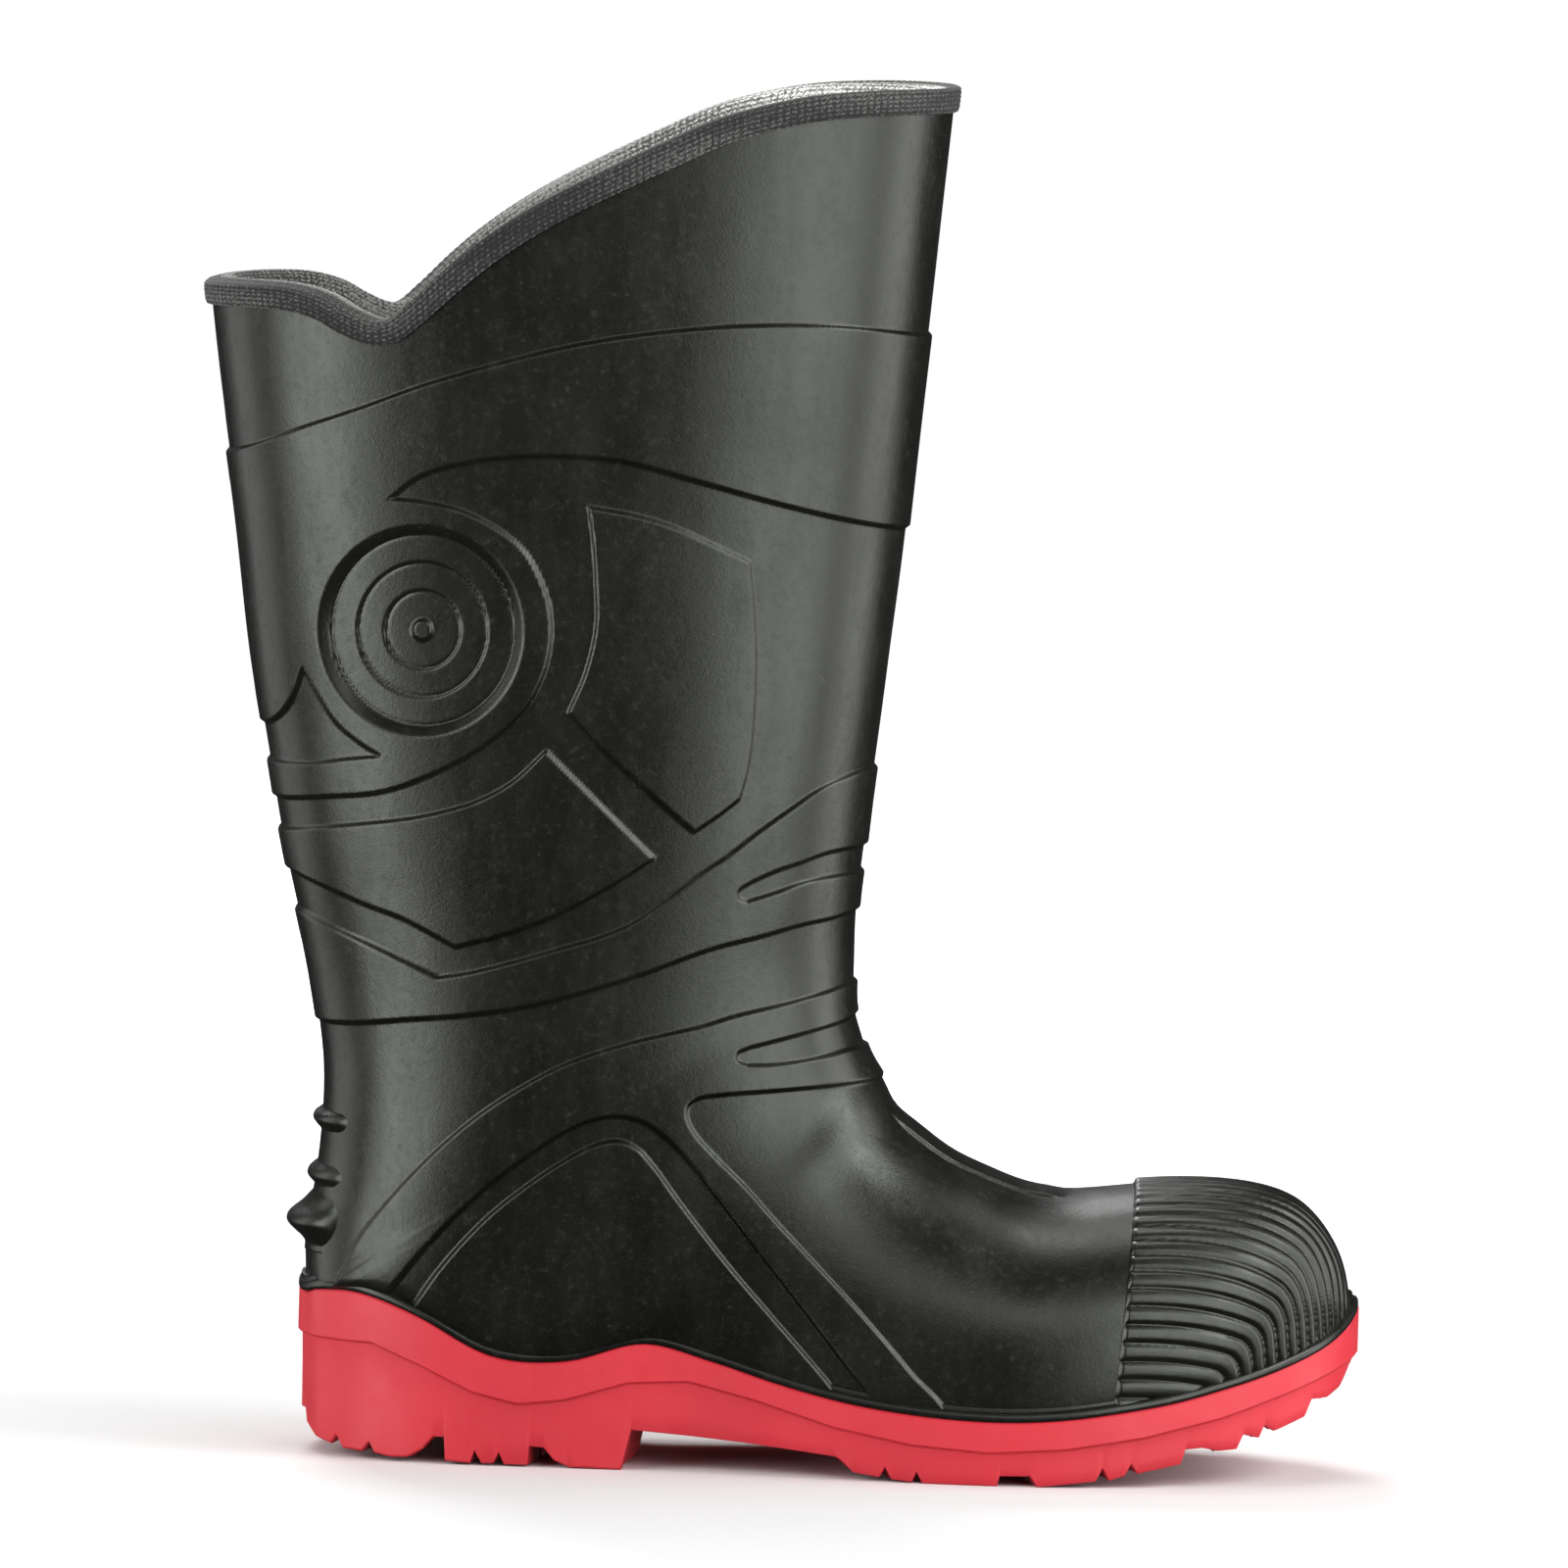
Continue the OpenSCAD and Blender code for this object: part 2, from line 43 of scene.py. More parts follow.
# Sections of the boot from the toe to above the collar, in millimetres, the same as the CAD's:
# front x, front z, back x, back z, half width, half width at the back or bottom edge,
# place of the widest point, middle line y, bottom thickness, roundness
SECTIONS = np.array([
    [163.6, 50.4, 164.3, 47.8, 3.4, 2.6, 0.45, 9, 1, 2.2],
    [163.2, 52.4, 163.7, 46.2, 10, 9, 0.45, 9, 1.6, 2.2],
    [161.8, 58.6, 161.4, 43, 18, 16.5, 0.42, 8.8, 2.6, 2.2],
    [158.4, 66, 157.6, 40, 26, 24.5, 0.38, 8.3, 3, 2.2],
    [152.8, 73.2, 151.8, 36.8, 33, 31.5, 0.34, 7.6, 3.2, 2.2],
    [145.2, 78.2, 143.2, 33, 39.5, 37.5, 0.31, 6.6, 3.4, 2.2],
    [133.6, 81, 130.6, 28.8, 45.5, 43, 0.29, 5.2, 3.6, 2.2],
    [119, 81.8, 115, 24.4, 49.5, 47, 0.28, 3.6, 4, 2.2],
    [103, 81, 98, 21.2, 52.2, 50, 0.27, 2, 4.6, 2.15],
    [87, 79.4, 80, 18.8, 53.5, 51.5, 0.27, 0.8, 5.4, 2.1],
    [73.5, 80.2, 62, 18.2, 53, 51, 0.28, 0, 6, 2.05],
    [61.5, 84.4, 44, 19.2, 51, 49, 0.29, -0.6, 6.6, 2.05],
    [51, 89.2, 25, 21.6, 48.5, 46, 0.31, -1, 7, 2.05],
    [42.4, 95.2, 5, 26, 46, 42.5, 0.33, -1, 7, 2.05],
    [35, 101.6, -15, 31.8, 44.5, 40, 0.36, -0.8, 8, 2.1],
    [31, 108.6, -35, 36.2, 44, 38.6, 0.39, -0.5, 8, 2.15],
    [26.6, 115.6, -57, 30.4, 43.8, 38.2, 0.42, -0.2, 15, 2.2],
    [23.8, 122.6, -78, 31.4, 43.6, 38, 0.45, 0, 19, 2.25],
    [21.8, 129.6, -98, 41.6, 43.4, 36, 0.47, 0, 12, 2.3],
    [21.4, 137, -114, 47.2, 43.4, 30.5, 0.48, 0, 7, 2.3],
    [21.4, 145, -126, 46.8, 43.4, 20, 0.49, 0, 5.4, 2.3],
    [21.4, 154, -132.2, 45.8, 43.6, 8, 0.5, 0, 4.2, 2.3],
    [22, 164, -132.6, 59, 44, 3, 0.5, 0, 4, 2.3],
    [23.2, 176, -129.8, 76, 44.6, 2, 0.5, 0, 3.8, 2.3],
    [24.4, 189, -128.3, 92, 45.2, 2, 0.5, 0, 3.6, 2.3],
    [25.9, 203, -128.2, 109, 46, 2, 0.5, 0, 3.5, 2.3],
    [27.5, 218, -130.8, 128, 46.8, 2, 0.5, 0, 3.4, 2.3],
    [29.2, 235, -135.4, 149, 47.6, 2, 0.5, 0, 3.4, 2.3],
    [31.3, 255, -141, 172, 48.4, 2, 0.5, 0, 3.4, 2.3],
    [33.3, 278, -146, 198, 49.6, 2, 0.5, 0, 3.4, 2.3],
    [35.4, 303, -151.4, 227, 51, 2, 0.5, 0, 3.4, 2.35],
    [37.8, 330, -155.8, 259, 52.6, 2, 0.5, 0, 3.4, 2.4],
    [40, 357, -160.8, 291, 54, 2, 0.5, 0, 3.4, 2.4],
    [42, 381, -165, 320, 55.2, 2, 0.5, 0, 3.4, 2.4],
    [43.6, 403, -169, 352, 56, 2, 0.5, 0, 3.4, 2.4]])
FRONT_X, FRONT_Z, BACK_X, BACK_Z, HALF, LOW_HALF, WIDEST, MIDDLE, THICK, POWER = range(10)
HEEL = 21           # the heel's section
TRIM = 30           # above this section the rows of a mesh spread out to meet the collar
LAST = len(SECTIONS) - 1
# The collar's edge in side view
COLLAR = np.array([[-176, 328], [-152, 329], [-142, 328.5], [-134, 326.5], [-127, 323], [-121, 320.6],
    [-117, 320], [-113, 321.2], [-107, 326], [-98, 334.5], [-90, 341.5], [-80, 349], [-68, 356.5],
    [-53, 364.5], [-38, 372], [-23, 379], [-10, 383], [4, 386], [20, 387.5], [36, 388], [54, 388]])
UPPER_WALL = 3.2
LINING = 1.2        # thickness
CAP = 1.8           # thickness of the steel toe cap
CAP_END = 8         # its last section
GAP = 0.3           # between the upper and the lining
LEDGE = 3.2         # the sole's width past the upper
FLAT = 0.07         # share of the way round that is the flat bottom or back


def slopes(values):
    """Slopes at each section: smooth where the surface is free, local where it has corners."""
    n = len(values)
    local = np.empty_like(values)
    local[1:-1] = (values[2:] - values[:-2]) / 2
    local[0], local[-1] = values[1] - values[0], values[-1] - values[-2]
    a = np.diag(np.full(n, 4.0)) + np.diag(np.ones(n - 1), 1) + np.diag(np.ones(n - 1), -1)
    a[0, 0] = a[-1, -1] = 2
    r = np.empty_like(values)
    r[1:-1] = 3 * (values[2:] - values[:-2])
    r[0], r[-1] = 3 * (values[1] - values[0]), 3 * (values[-1] - values[-2])
    free = np.linalg.solve(a, r)
    out = local.copy()
    out[:, [FRONT_X, FRONT_Z, HALF]] = free[:, [FRONT_X, FRONT_Z, HALF]]
    leg = np.arange(n) >= HEEL + 3
    out[leg, BACK_X:HALF] = free[leg, BACK_X:HALF]
    return out


SLOPES = slopes(SECTIONS)


def cubic(t, p, a, q, b):
    """From p to q, with the slopes a and b there."""
    return ((2 * t ** 3 - 3 * t ** 2 + 1) * p + (t ** 3 - 2 * t ** 2 + t) * a
            + (3 * t ** 2 - 2 * t ** 3) * q + (t ** 3 - t ** 2) * b)


def section(u):
    """The ten values of SECTIONS at a place between its rows."""
    u = np.clip(np.asarray(u, float), 0, LAST)
    i = np.clip(np.floor(u).astype(int), 0, LAST - 1)
    return cubic((u - i)[..., None], SECTIONS[i], SLOPES[i], SECTIONS[i + 1], SLOPES[i + 1])


def from_low(c):
    """How far a place c is from the bottom or back, 0, to the top or front, 1, on either side."""
    return np.where(c < 0.5, c * 2, (1 - c) * 2)


def surface(u, c, front=0.0, back=0.0, side=0.0, lift=0.0):
    """Point at section u and place c round it: 0 the bottom or back, 0.25 the outer side,
    0.5 the front or top, 0.75 the inner side. The distances go inwards."""
    u, c = np.broadcast_arrays(np.asarray(u, float), np.mod(np.asarray(c, float), 1.0))
    fx, fz, bx, bz, half, low_half, widest, middle, _, power = np.moveaxis(section(u), -1, 0)
    share = from_low(c)
    turn = math.pi * np.clip((share - FLAT) / (1 - FLAT), 0, 1)
    depth = np.hypot(fx - bx, fz - bz)
    start, end = np.broadcast_to(back, u.shape), depth - front
    mid = start + (end - start) * widest
    wide = half - side
    low = np.maximum(np.minimum(low_half - side, wide - 0.2), 1)
    lower = turn <= math.pi / 2
    part = np.where(lower, turn, turn - math.pi / 2)
    cos, sin = (np.clip(f(part), 0, 1) ** (2 / power) for f in (np.cos, np.sin))
    along = np.where(lower, start + lift + (mid - start - lift) * (1 - cos), mid + (end - mid) * sin)
    across = np.where(lower, low + (wide - low) * sin, wide * cos)
    flat = share < FLAT
    along = np.where(flat, start + lift, along) / depth
    across = np.where(flat, low * share / FLAT, across) * np.where(c < 0.5, -1, 1)
    return np.stack([bx + (fx - bx) * along, middle + across, bz + (fz - bz) * along], -1)
# ---- mesh helpers

def add_mesh(name, points, faces):
    """A smooth-shaded object from points in millimetres."""
    mesh = bpy.data.meshes.new(name)
    mesh.from_pydata((np.asarray(points) / 1000).tolist(), [], faces)
    mesh.polygons.foreach_set("use_smooth", np.ones(len(mesh.polygons), bool))
    mesh.update()
    obj = bpy.data.objects.new(name, mesh)
    bpy.context.scene.collection.objects.link(obj)
    return obj


def grid_faces(rows, cols, wrap_rows=False, wrap_cols=False, start=0, flip=False):
    """Quads of a grid whose points are stored row by row."""
    r = np.arange(rows if wrap_rows else rows - 1)
    c = np.arange(cols if wrap_cols else cols - 1)
    r, c = np.meshgrid(r, c, indexing="ij")
    r2, c2 = (r + 1) % rows, (c + 1) % cols
    q = np.stack([r * cols + c, r * cols + c2, r2 * cols + c2, r2 * cols + c], -1) + start
    q = q.reshape(-1, 4)
    return (q[:, ::-1] if flip else q).tolist()


def rim(rows, cols, start=0):
    """The points round the edge of a grid."""
    loop = list(range(cols)) + [r * cols + cols - 1 for r in range(1, rows)]
    loop += [(rows - 1) * cols + c for c in range(cols - 2, -1, -1)]
    loop += [r * cols for r in range(rows - 2, 0, -1)]
    return [start + k for k in loop]


def closed_faces(rows, cols, row_step=1, col_step=1):
    """Faces of a grid that is closed behind by a coarser one, whose points come after its own."""
    n = rows * cols
    r, c = (rows - 1) // row_step + 1, (cols - 1) // col_step + 1
    faces = grid_faces(rows, cols) + grid_faces(r, c, start=n, flip=True)
    fine, coarse = rim(rows, cols), rim(r, c, n)
    at = 0
    for k, span in enumerate(([col_step] * (c - 1) + [row_step] * (r - 1)) * 2):
        run = [fine[(at + i) % len(fine)] for i in range(span + 1)]
        faces.append(run[::-1] + [coarse[k], coarse[(k + 1) % len(coarse)]])
        at += span
    return faces


def smooth(t):
    t = np.clip(t, 0, 1)
    return t * t * (3 - 2 * t)


def unit_normals(around, along, p, outer=slice(None)):
    """Unit normals of a grid of points, turned to face outwards over its outer rows."""
    n = np.cross(around, along)
    n /= np.maximum(np.linalg.norm(n, axis=-1, keepdims=True), 1e-9)
    return -n if ((p - p.mean((0, 1))) * n)[outer].sum() < 0 else n


def lengths(points):
    """Distance along a line to each of its points."""
    return np.concatenate([[0], np.linalg.norm(np.diff(points, axis=0), axis=1).cumsum()])


def point_attribute(obj, name, values):
    layer = obj.data.attributes.new(name, "FLOAT", "POINT")
    layer.data.foreach_set("value", np.asarray(values, np.float32))


def curve(points, spacing=0.8):
    """A smooth line through the points, sampled about every spacing."""
    p = np.array(points, float)
    if len(p) < 3:
        n = max(int(np.hypot(*(p[-1] - p[0])) / spacing), 1)
        return p[0] + (p[-1] - p[0]) * np.linspace(0, 1, n + 1)[:, None]
    q = np.vstack([2 * p[0] - p[1], p, 2 * p[-1] - p[-2]])
    d = np.maximum(np.hypot(*(np.diff(q, axis=0).T)) ** 0.5, 1e-6)
    out = []
    for i in range(1, len(q) - 2):
        a, b, c, e = q[i - 1:i + 3]
        d1, d2, d3 = d[i - 1], d[i], d[i + 1]
        m1 = (b - a) / d1 - (c - a) / (d1 + d2) + (c - b) / d2
        m2 = (c - b) / d2 - (e - b) / (d2 + d3) + (e - c) / d3
        n = max(int(np.hypot(*(c - b)) / spacing), 2)
        out.append(cubic(np.linspace(0, 1, n, endpoint=False)[:, None], b, m1 * d2, c, m2 * d2))
    out.append(p[-1:])
    return np.vstack(out)


# ---- moulded relief of the leg

# Outlines in side view. Each is a list of runs; a run is a smooth line and runs meet in corners.
BAND1 = [
    [(70, 315), (36.5, 321.5), (13, 324.5), (-14.5, 324.5), (-42.5, 321.5), (-63.5, 317.5),
     (-83.5, 312), (-103.5, 305.5), (-122, 298), (-137.5, 292), (-151.5, 286), (-159.5, 283), (-185, 274)],
    [(-185, 206.5), (-149.5, 206.5), (-145.5, 207), (-141, 211), (-138, 216.5), (-136, 223.5)],
    [(-136, 223.5), (-131.5, 216), (-126, 208.5), (-119.5, 203.5), (-113.5, 200)],
    [(-113.5, 200), (-123.5, 198.5), (-134, 196.5), (-146.5, 196), (-185, 196)],
    [(-185, 184.5), (-144.5, 185.5), (-128.5, 187.5), (-112.5, 190), (-97, 196.5), (-83.5, 205),
     (-73, 215.5), (-68, 226), (-66.5, 235.5), (-67, 243), (-70, 252), (-75, 260), (-83, 266),
     (-93, 270.5), (-104, 272.5), (-112.5, 273)],
    [(-112.5, 273), (-104.5, 279.5), (-88.5, 284.5), (-69.5, 286.5), (-48, 285.5), (-27, 280.5),
     (-6, 275), (15, 270), (33, 266.5), (70, 260)]]
PANEL1 = [
    [(-57, 272.5), (-44, 270.5), (-33, 267.5), (-22.5, 263), (-11.5, 258)],
    [(-11.5, 258), (-10, 245), (-9, 231), (-9.3, 210), (-10.5, 199), (-12.5, 191)],
    [(-12.5, 191), (-18, 186.5), (-25, 181.5)],
    [(-25, 181.5), (-38, 192.5), (-52.5, 205.5), (-61, 214.5)],
    [(-61, 214.5), (-56.5, 226), (-54, 239), (-54.5, 252), (-55.5, 263), (-57, 272.5)]]
PANEL2 = [
    [(-185, 174), (-143, 176.5), (-130.5, 178.5), (-118, 180.5), (-101.5, 183.5), (-86, 188.5),
     (-76, 194.5), (-67, 203.5)],
    [(-67, 203.5), (-36, 174)],
    [(-36, 174), (-43, 169), (-54, 162), (-65, 156), (-79, 150.5), (-91, 147)],
    [(-91, 147), (-105.5, 154), (-116.5, 157.5), (-132, 163), (-140.5, 165.5), (-185, 166)]]
BAND3 = [
    [(70, 199), (25.5, 198.5), (20.5, 198), (10.5, 194), (1, 187.5), (-6.5, 182), (-16.5, 174),
     (-21, 171), (-43, 154.5), (-65, 146.5), (-86, 140), (-95.5, 138)],
    [(-95.5, 138), (-116, 146.5), (-129.5, 151.5), (-137, 154), (-185, 156)],
    [(-185, 122), (-129.5, 122.5), (-118, 123.5), (-104.5, 125.5), (-85.5, 128), (-68, 131.5),
     (-41, 140), (-19, 148.5), (-5.5, 152), (5.5, 155), (14, 156.5), (21.5, 158), (70, 158)]]
SLOT1 = [
    [(70, 177), (23.5, 176.5), (13, 175.5), (5.5, 173), (-2, 170.5), (-8.5, 167.5)],
    [(-8.5, 167.5), (-12, 165), (-12, 163), (-9.5, 162)],
    [(-9.5, 162), (-1.5, 164.5), (5.5, 167), (13.5, 168.5), (22.5, 169), (70, 169)]]
QUARTER = [
    [(70, 138), (21, 137.5), (13, 135.5), (3.5, 133), (-11.5, 129.5), (-21, 126.5), (-31, 124),
     (-39, 122), (-50, 118.5), (-61, 114), (-71, 108.2), (-80, 102), (-89, 94.5), (-98, 85.5),
     (-107, 75), (-115.5, 63.5), (-121, 53.5), (-123.5, 48.5), (-126, 40)],
    [(-126, 40), (-126, -20)],
    [(-126, -20), (60, -20)],
    [(60, -20), (52, 19), (41, 31), (32.5, 40.5), (23, 50.5), (12.5, 61), (2, 71.5), (-7, 81),
     (-17, 90.5), (-22.5, 96.5), (-24.6, 101), (-24.2, 104), (-21.5, 106), (-16, 107), (2.5, 108.5),
     (27.5, 110), (70, 112)]]
SLOT2 = [
    [(70, 129), (23.5, 128.5), (18.5, 127), (8.5, 124.5), (-1.5, 122), (-7.5, 120.5)],
    [(-7.5, 120.5), (-11, 118.8), (-11, 116.8), (-8, 115.5)],
    [(-8, 115.5), (-3, 115.5), (3.5, 116), (13.5, 117.5), (21, 119), (70, 121)]]
ARCH = [
    [(-112, 42), (-106, 50), (-97.5, 61), (-88.5, 71.2), (-79.5, 80), (-70, 87.8), (-61, 94.3),
     (-52.5, 98.8), (-45, 100.5), (-37.5, 99.3), (-31, 95.3), (-24, 88.5), (-14.5, 77), (-5, 65.5),
     (4.5, 54), (14, 42.5), (23, 31.5), (31, 22), (37, 14)],
    [(37, 14), (28, 14)],
    [(28, 14), (18.5, 26.3), (9.5, 36.3), (-0.2, 46.8), (-9.8, 57.3), (-19, 68.2), (-27, 78.2),
     (-33.3, 86.5), (-38.2, 91.5), (-43, 93.5), (-47.8, 93), (-53, 90.9), (-61, 86), (-70.5, 79),
     (-79.2, 71.5), (-87.8, 62.2), (-94.5, 53.5), (-99, 46.5), (-104, 38)]]
BADGE = (-103, 236)
BADGE_SQUEEZE = 0.96
BADGE_RINGS = (30.5, 27.6, 19.5, 11.5, 3.5)
RELIEF_H = 1.2
BEVEL = 0.62            # half the width of the slope at an outline
BADGE_DEPTH, BADGE_SLOPE = 1.9, 3.4
RING_DEPTH, RING_SLOPE = 0.45, 0.7
GROOVE_DEPTH, GROOVE_WIDTH = 0.3, 0.5
BOSS_HEIGHT, BOSS_SLOPE = 1.3, 1.2
# The relief is worked out on a grid in side view
STEP = 0.35
GRID_LOW = np.array([-188.0, -24.0])
GRID_N = (740, 1010)
EDGE_REACH = 2.6        # how far from an outline its distance is measured
OUT_OF_REACH = 9.0
CLOSING_LINE = 3.0      # longer lines only close an outline beyond the leg
gx = GRID_LOW[0] + STEP * np.arange(GRID_N[0])
gz = GRID_LOW[1] + STEP * np.arange(GRID_N[1])
marks = []              # points of all the edges, where the upper's mesh has to be fine


def inside_and_edge(runs):
    """How far inside the outline each grid point is, cut to a few millimetres."""
    line = np.vstack([curve(r) for r in runs])
    marks.append(line)
    line = np.vstack([line, line[:1]])
    far = np.full(GRID_N, OUT_OF_REACH)
    parity = np.zeros(GRID_N, np.int8)
    for a, b in zip(line[:-1], line[1:]):
        d = b - a
        n = float(d @ d)
        if n < 1e-9:
            continue
        lo = np.floor((np.minimum(a, b) - EDGE_REACH - GRID_LOW) / STEP).astype(int)
        hi = np.ceil((np.maximum(a, b) + EDGE_REACH - GRID_LOW) / STEP).astype(int)
        lo, hi = np.maximum(lo, 0), np.minimum(hi, GRID_N)
        if n < CLOSING_LINE ** 2 and (hi > lo).all():
            x, z = gx[lo[0]:hi[0], None] - a[0], gz[None, lo[1]:hi[1]] - a[1]
            t = np.clip((x * d[0] + z * d[1]) / n, 0, 1)
            part = far[lo[0]:hi[0], lo[1]:hi[1]]
            np.minimum(part, np.hypot(x - t * d[0], z - t * d[1]), out=part)
        if abs(d[1]) > 1e-9:
            rows = np.nonzero((gz >= min(a[1], b[1])) & (gz < max(a[1], b[1])))[0]
            at = a[0] + (gz[rows] - a[1]) / d[1] * d[0]
            col = np.ceil((at - GRID_LOW[0]) / STEP).astype(int)
            ok = col < GRID_N[0]
            np.add.at(parity, (np.maximum(col[ok], 0), rows[ok]), 1)
    inside = np.cumsum(parity, 0) % 2 == 1
    return np.where(inside, far, -far)


def plateau(runs, bevel=BEVEL):
    """1 inside the outline and 0 outside, with a slope between."""
    return smooth((inside_and_edge(runs) + bevel) / (2 * bevel))


def badge(x, z):
    """Height of the round badge: a bowl, steps with a groove at each ring, and a small boss."""
    r = np.hypot((x - BADGE[0]) / BADGE_SQUEEZE, z - BADGE[1])
    out = -BADGE_DEPTH * smooth((BADGE_RINGS[0] - r) / BADGE_SLOPE)
    for ring in BADGE_RINGS[1:4]:
        out -= RING_DEPTH * smooth((ring - r) / RING_SLOPE)
        out -= GROOVE_DEPTH * np.exp(-((r - ring + GROOVE_WIDTH) / GROOVE_WIDTH) ** 2)
    return out + BOSS_HEIGHT * smooth((BADGE_RINGS[4] - r) / BOSS_SLOPE)


def relief_grid():
    """Height of the moulded relief over the side view."""
    quarter = plateau(QUARTER) * (1 - plateau(SLOT2)) * (1 - 1.2 * plateau(ARCH, 0.6))
    h = RELIEF_H * (plateau(BAND1) + plateau(PANEL1) + plateau(PANEL2)
                    + plateau(BAND3) * (1 - plateau(SLOT1)) + quarter)
    turn = np.linspace(0, 2 * math.pi, 400)
    round_line = np.stack([BADGE_SQUEEZE * np.cos(turn), np.sin(turn)], 1)
    for ring in BADGE_RINGS + (BADGE_RINGS[0] - 2,):
        marks.append(np.array(BADGE) + (ring - GROOVE_WIDTH) * round_line)
    return h + badge(gx[:, None], gz[None, :])


RELIEF = relief_grid()
SLOPE_X, SLOPE_Z = np.gradient(RELIEF, STEP)


def lookup(grid, x, z):
    """Value of a grid between its points."""
    a = np.clip((x - GRID_LOW[0]) / STEP, 0, GRID_N[0] - 1.001)
    b = np.clip((z - GRID_LOW[1]) / STEP, 0, GRID_N[1] - 1.001)
    i, j = a.astype(int), b.astype(int)
    a, b = a - i, b - j
    return ((grid[i, j] * (1 - a) + grid[i + 1, j] * a) * (1 - b)
            + (grid[i, j + 1] * (1 - a) + grid[i + 1, j + 1] * a) * b)


# Count of outline points on a coarse grid, summed, to find which cells hold any
MARK_LOW = GRID_LOW - 4     # its step is 1 mm
MARK_N = (280, 370)


def mark_sums():
    count = np.zeros(MARK_N, int)
    for line in marks:
        k = np.floor(line - MARK_LOW).astype(int)
        ok = ((k >= 0) & (k < MARK_N)).all(1)
        np.add.at(count, (k[ok, 0], k[ok, 1]), 1)
    return np.pad(count.cumsum(0).cumsum(1), ((1, 0), (1, 0)))


MARK_SUM = mark_sums()


def holds_outline(low, high):
    """Whether the boxes between the low and high corners hold any outline point."""
    a = np.clip(np.floor(low - MARK_LOW).astype(int), 0, MARK_N)
    b = np.clip(np.ceil(high - MARK_LOW).astype(int), 0, MARK_N)
    s = MARK_SUM
    return (s[b[..., 0], b[..., 1]] - s[a[..., 0], b[..., 1]] - s[b[..., 0], a[..., 1]]
            + s[a[..., 0], a[..., 1]]) > 0

# ---- the upper

COLLAR_LINE = curve(COLLAR, 1.5)


def collar_z(x):
    return np.interp(x, COLLAR_LINE[:, 0], COLLAR_LINE[:, 1])


def bisect(low, high, shape, over):
    """Section number, between low and high, above which over(its number) is true."""
    lo, hi = np.full(shape, float(low)), np.full(shape, float(high))
    for _ in range(22):
        mid = (lo + hi) / 2
        beyond = over(mid)
        lo, hi = np.where(beyond, lo, mid), np.where(beyond, mid, hi)
    return (lo + hi) / 2


def collar_u(c):
    """Section number at which a line up the leg meets the collar edge."""
    def over(u):
        p = surface(u, c)
        return p[..., 2] > collar_z(p[..., 0])
    return bisect(TRIM, LAST, np.shape(c), over)


def row_u(r, top):
    """Section number of row r of a mesh whose last row is at the section number top."""
    return np.where(r <= TRIM, r, TRIM + (top - TRIM) * (r - TRIM) / (LAST - TRIM))


def even_rows():
    """Row numbers against their share of the way up, evenly spaced on the surface."""
    r = np.linspace(0, LAST, 700)
    total = np.zeros(len(r))
    for c, weight in ((0.04, 0.4), (0.25, 0.4), (0.5, 0.2)):
        total += weight * lengths(surface(row_u(r, collar_u(np.array(c))), c))
    return total / total[-1], r


def even_places():
    """Places round a section against their share of its length."""
    c = np.linspace(0, 1, 2001)
    total = sum(d / d[-1] for d in (lengths(surface(u, c)) for u in (5, 12, 24, 29, 33)))
    return total / total[-1], c


ROW_SHARE, ROW_R = even_rows()
PLACE_SHARE, PLACE_C = even_places()

# The outer wall is a grid of large cells. Those that an edge of the relief crosses are split in four,
# DEPTH times.
CELLS_ROUND, CELLS_UP = 104, 146
DEPTH = 3
FINE = 2 ** DEPTH
N_ROUND, N_UP = CELLS_ROUND * FINE, CELLS_UP * FINE
FIRST_ROW = 0.0005      # share of the way up
INNER_START, INNER_ROWS = 3.6, 60
# A raised strip with a groove on either side runs down the middle of the vamp
SEAM_Y = 12.5
SEAM_ROWS = (9.2, 14.4)
SEAM_RISE, SEAM_GROOVE = 0.7, 0.45
SEAM_LOW_Z = 60
COVERED = 7.5           # the toe guard hides the sections up to this one
# The heel is smoothed between these sections, and its back is drawn in above the sole
SMOOTHED = (16.3, 23.8)
SMOOTHING = (0.6, -0.61) * 60
HEEL_IN = 1.4


def seam_relief(p, u):
    """Height of the strip down the vamp."""
    y = np.abs(p[..., 1] - section(u)[..., MIDDLE])
    along = smooth((u - SEAM_ROWS[0]) / 0.5) * smooth((SEAM_ROWS[1] - u) / 1.2)
    strip = SEAM_RISE * smooth((SEAM_Y + 0.5 - y) / 0.9)
    groove = SEAM_GROOVE * np.exp(-((y - SEAM_Y - 0.8) / 0.5) ** 2)
    return (strip - groove) * along * (p[..., 2] > SEAM_LOW_Z)


def spread(values, axis, wrap):
    """Values of the coarse grid along one axis of the fine one."""
    n = values.shape[axis]
    at = np.arange(n * FINE if wrap else (n - 1) * FINE + 1) / FINE
    i = np.floor(at).astype(int)
    t = (at - i).reshape((1, -1, 1) if wrap else (-1, 1, 1))
    t = 0.35 * smooth(t) + 0.65 * t
    j = (i + 1) % n if wrap else np.minimum(i + 1, n - 1)
    return np.take(values, i, axis) * (1 - t) + np.take(values, j, axis) * t


def heel_smoothing(p, u, cc):
    """How far to move the points so that the heel's sides run into its back without a crease."""
    q, qu, share = p[::FINE, ::FINE].copy(), u[::FINE, ::FINE], from_low(cc[::FINE, ::FINE])
    weight = smooth((qu - SMOOTHED[0]) / 1.5) * smooth((SMOOTHED[1] - qu) / 1.5)
    weight = (weight * smooth((share - FLAT) / 0.02) * smooth((0.6 - share) / 0.15))[..., None]
    start = q.copy()
    for pull in SMOOTHING:
        near = (np.roll(q, 1, 1) + np.roll(q, -1, 1)) / 4
        near[1:-1] += (q[2:] + q[:-2]) / 4
        near[[0, -1]] = q[[0, -1]]
        q += pull * weight * (near - q)
    return spread(spread(q - start, 0, False), 1, True)


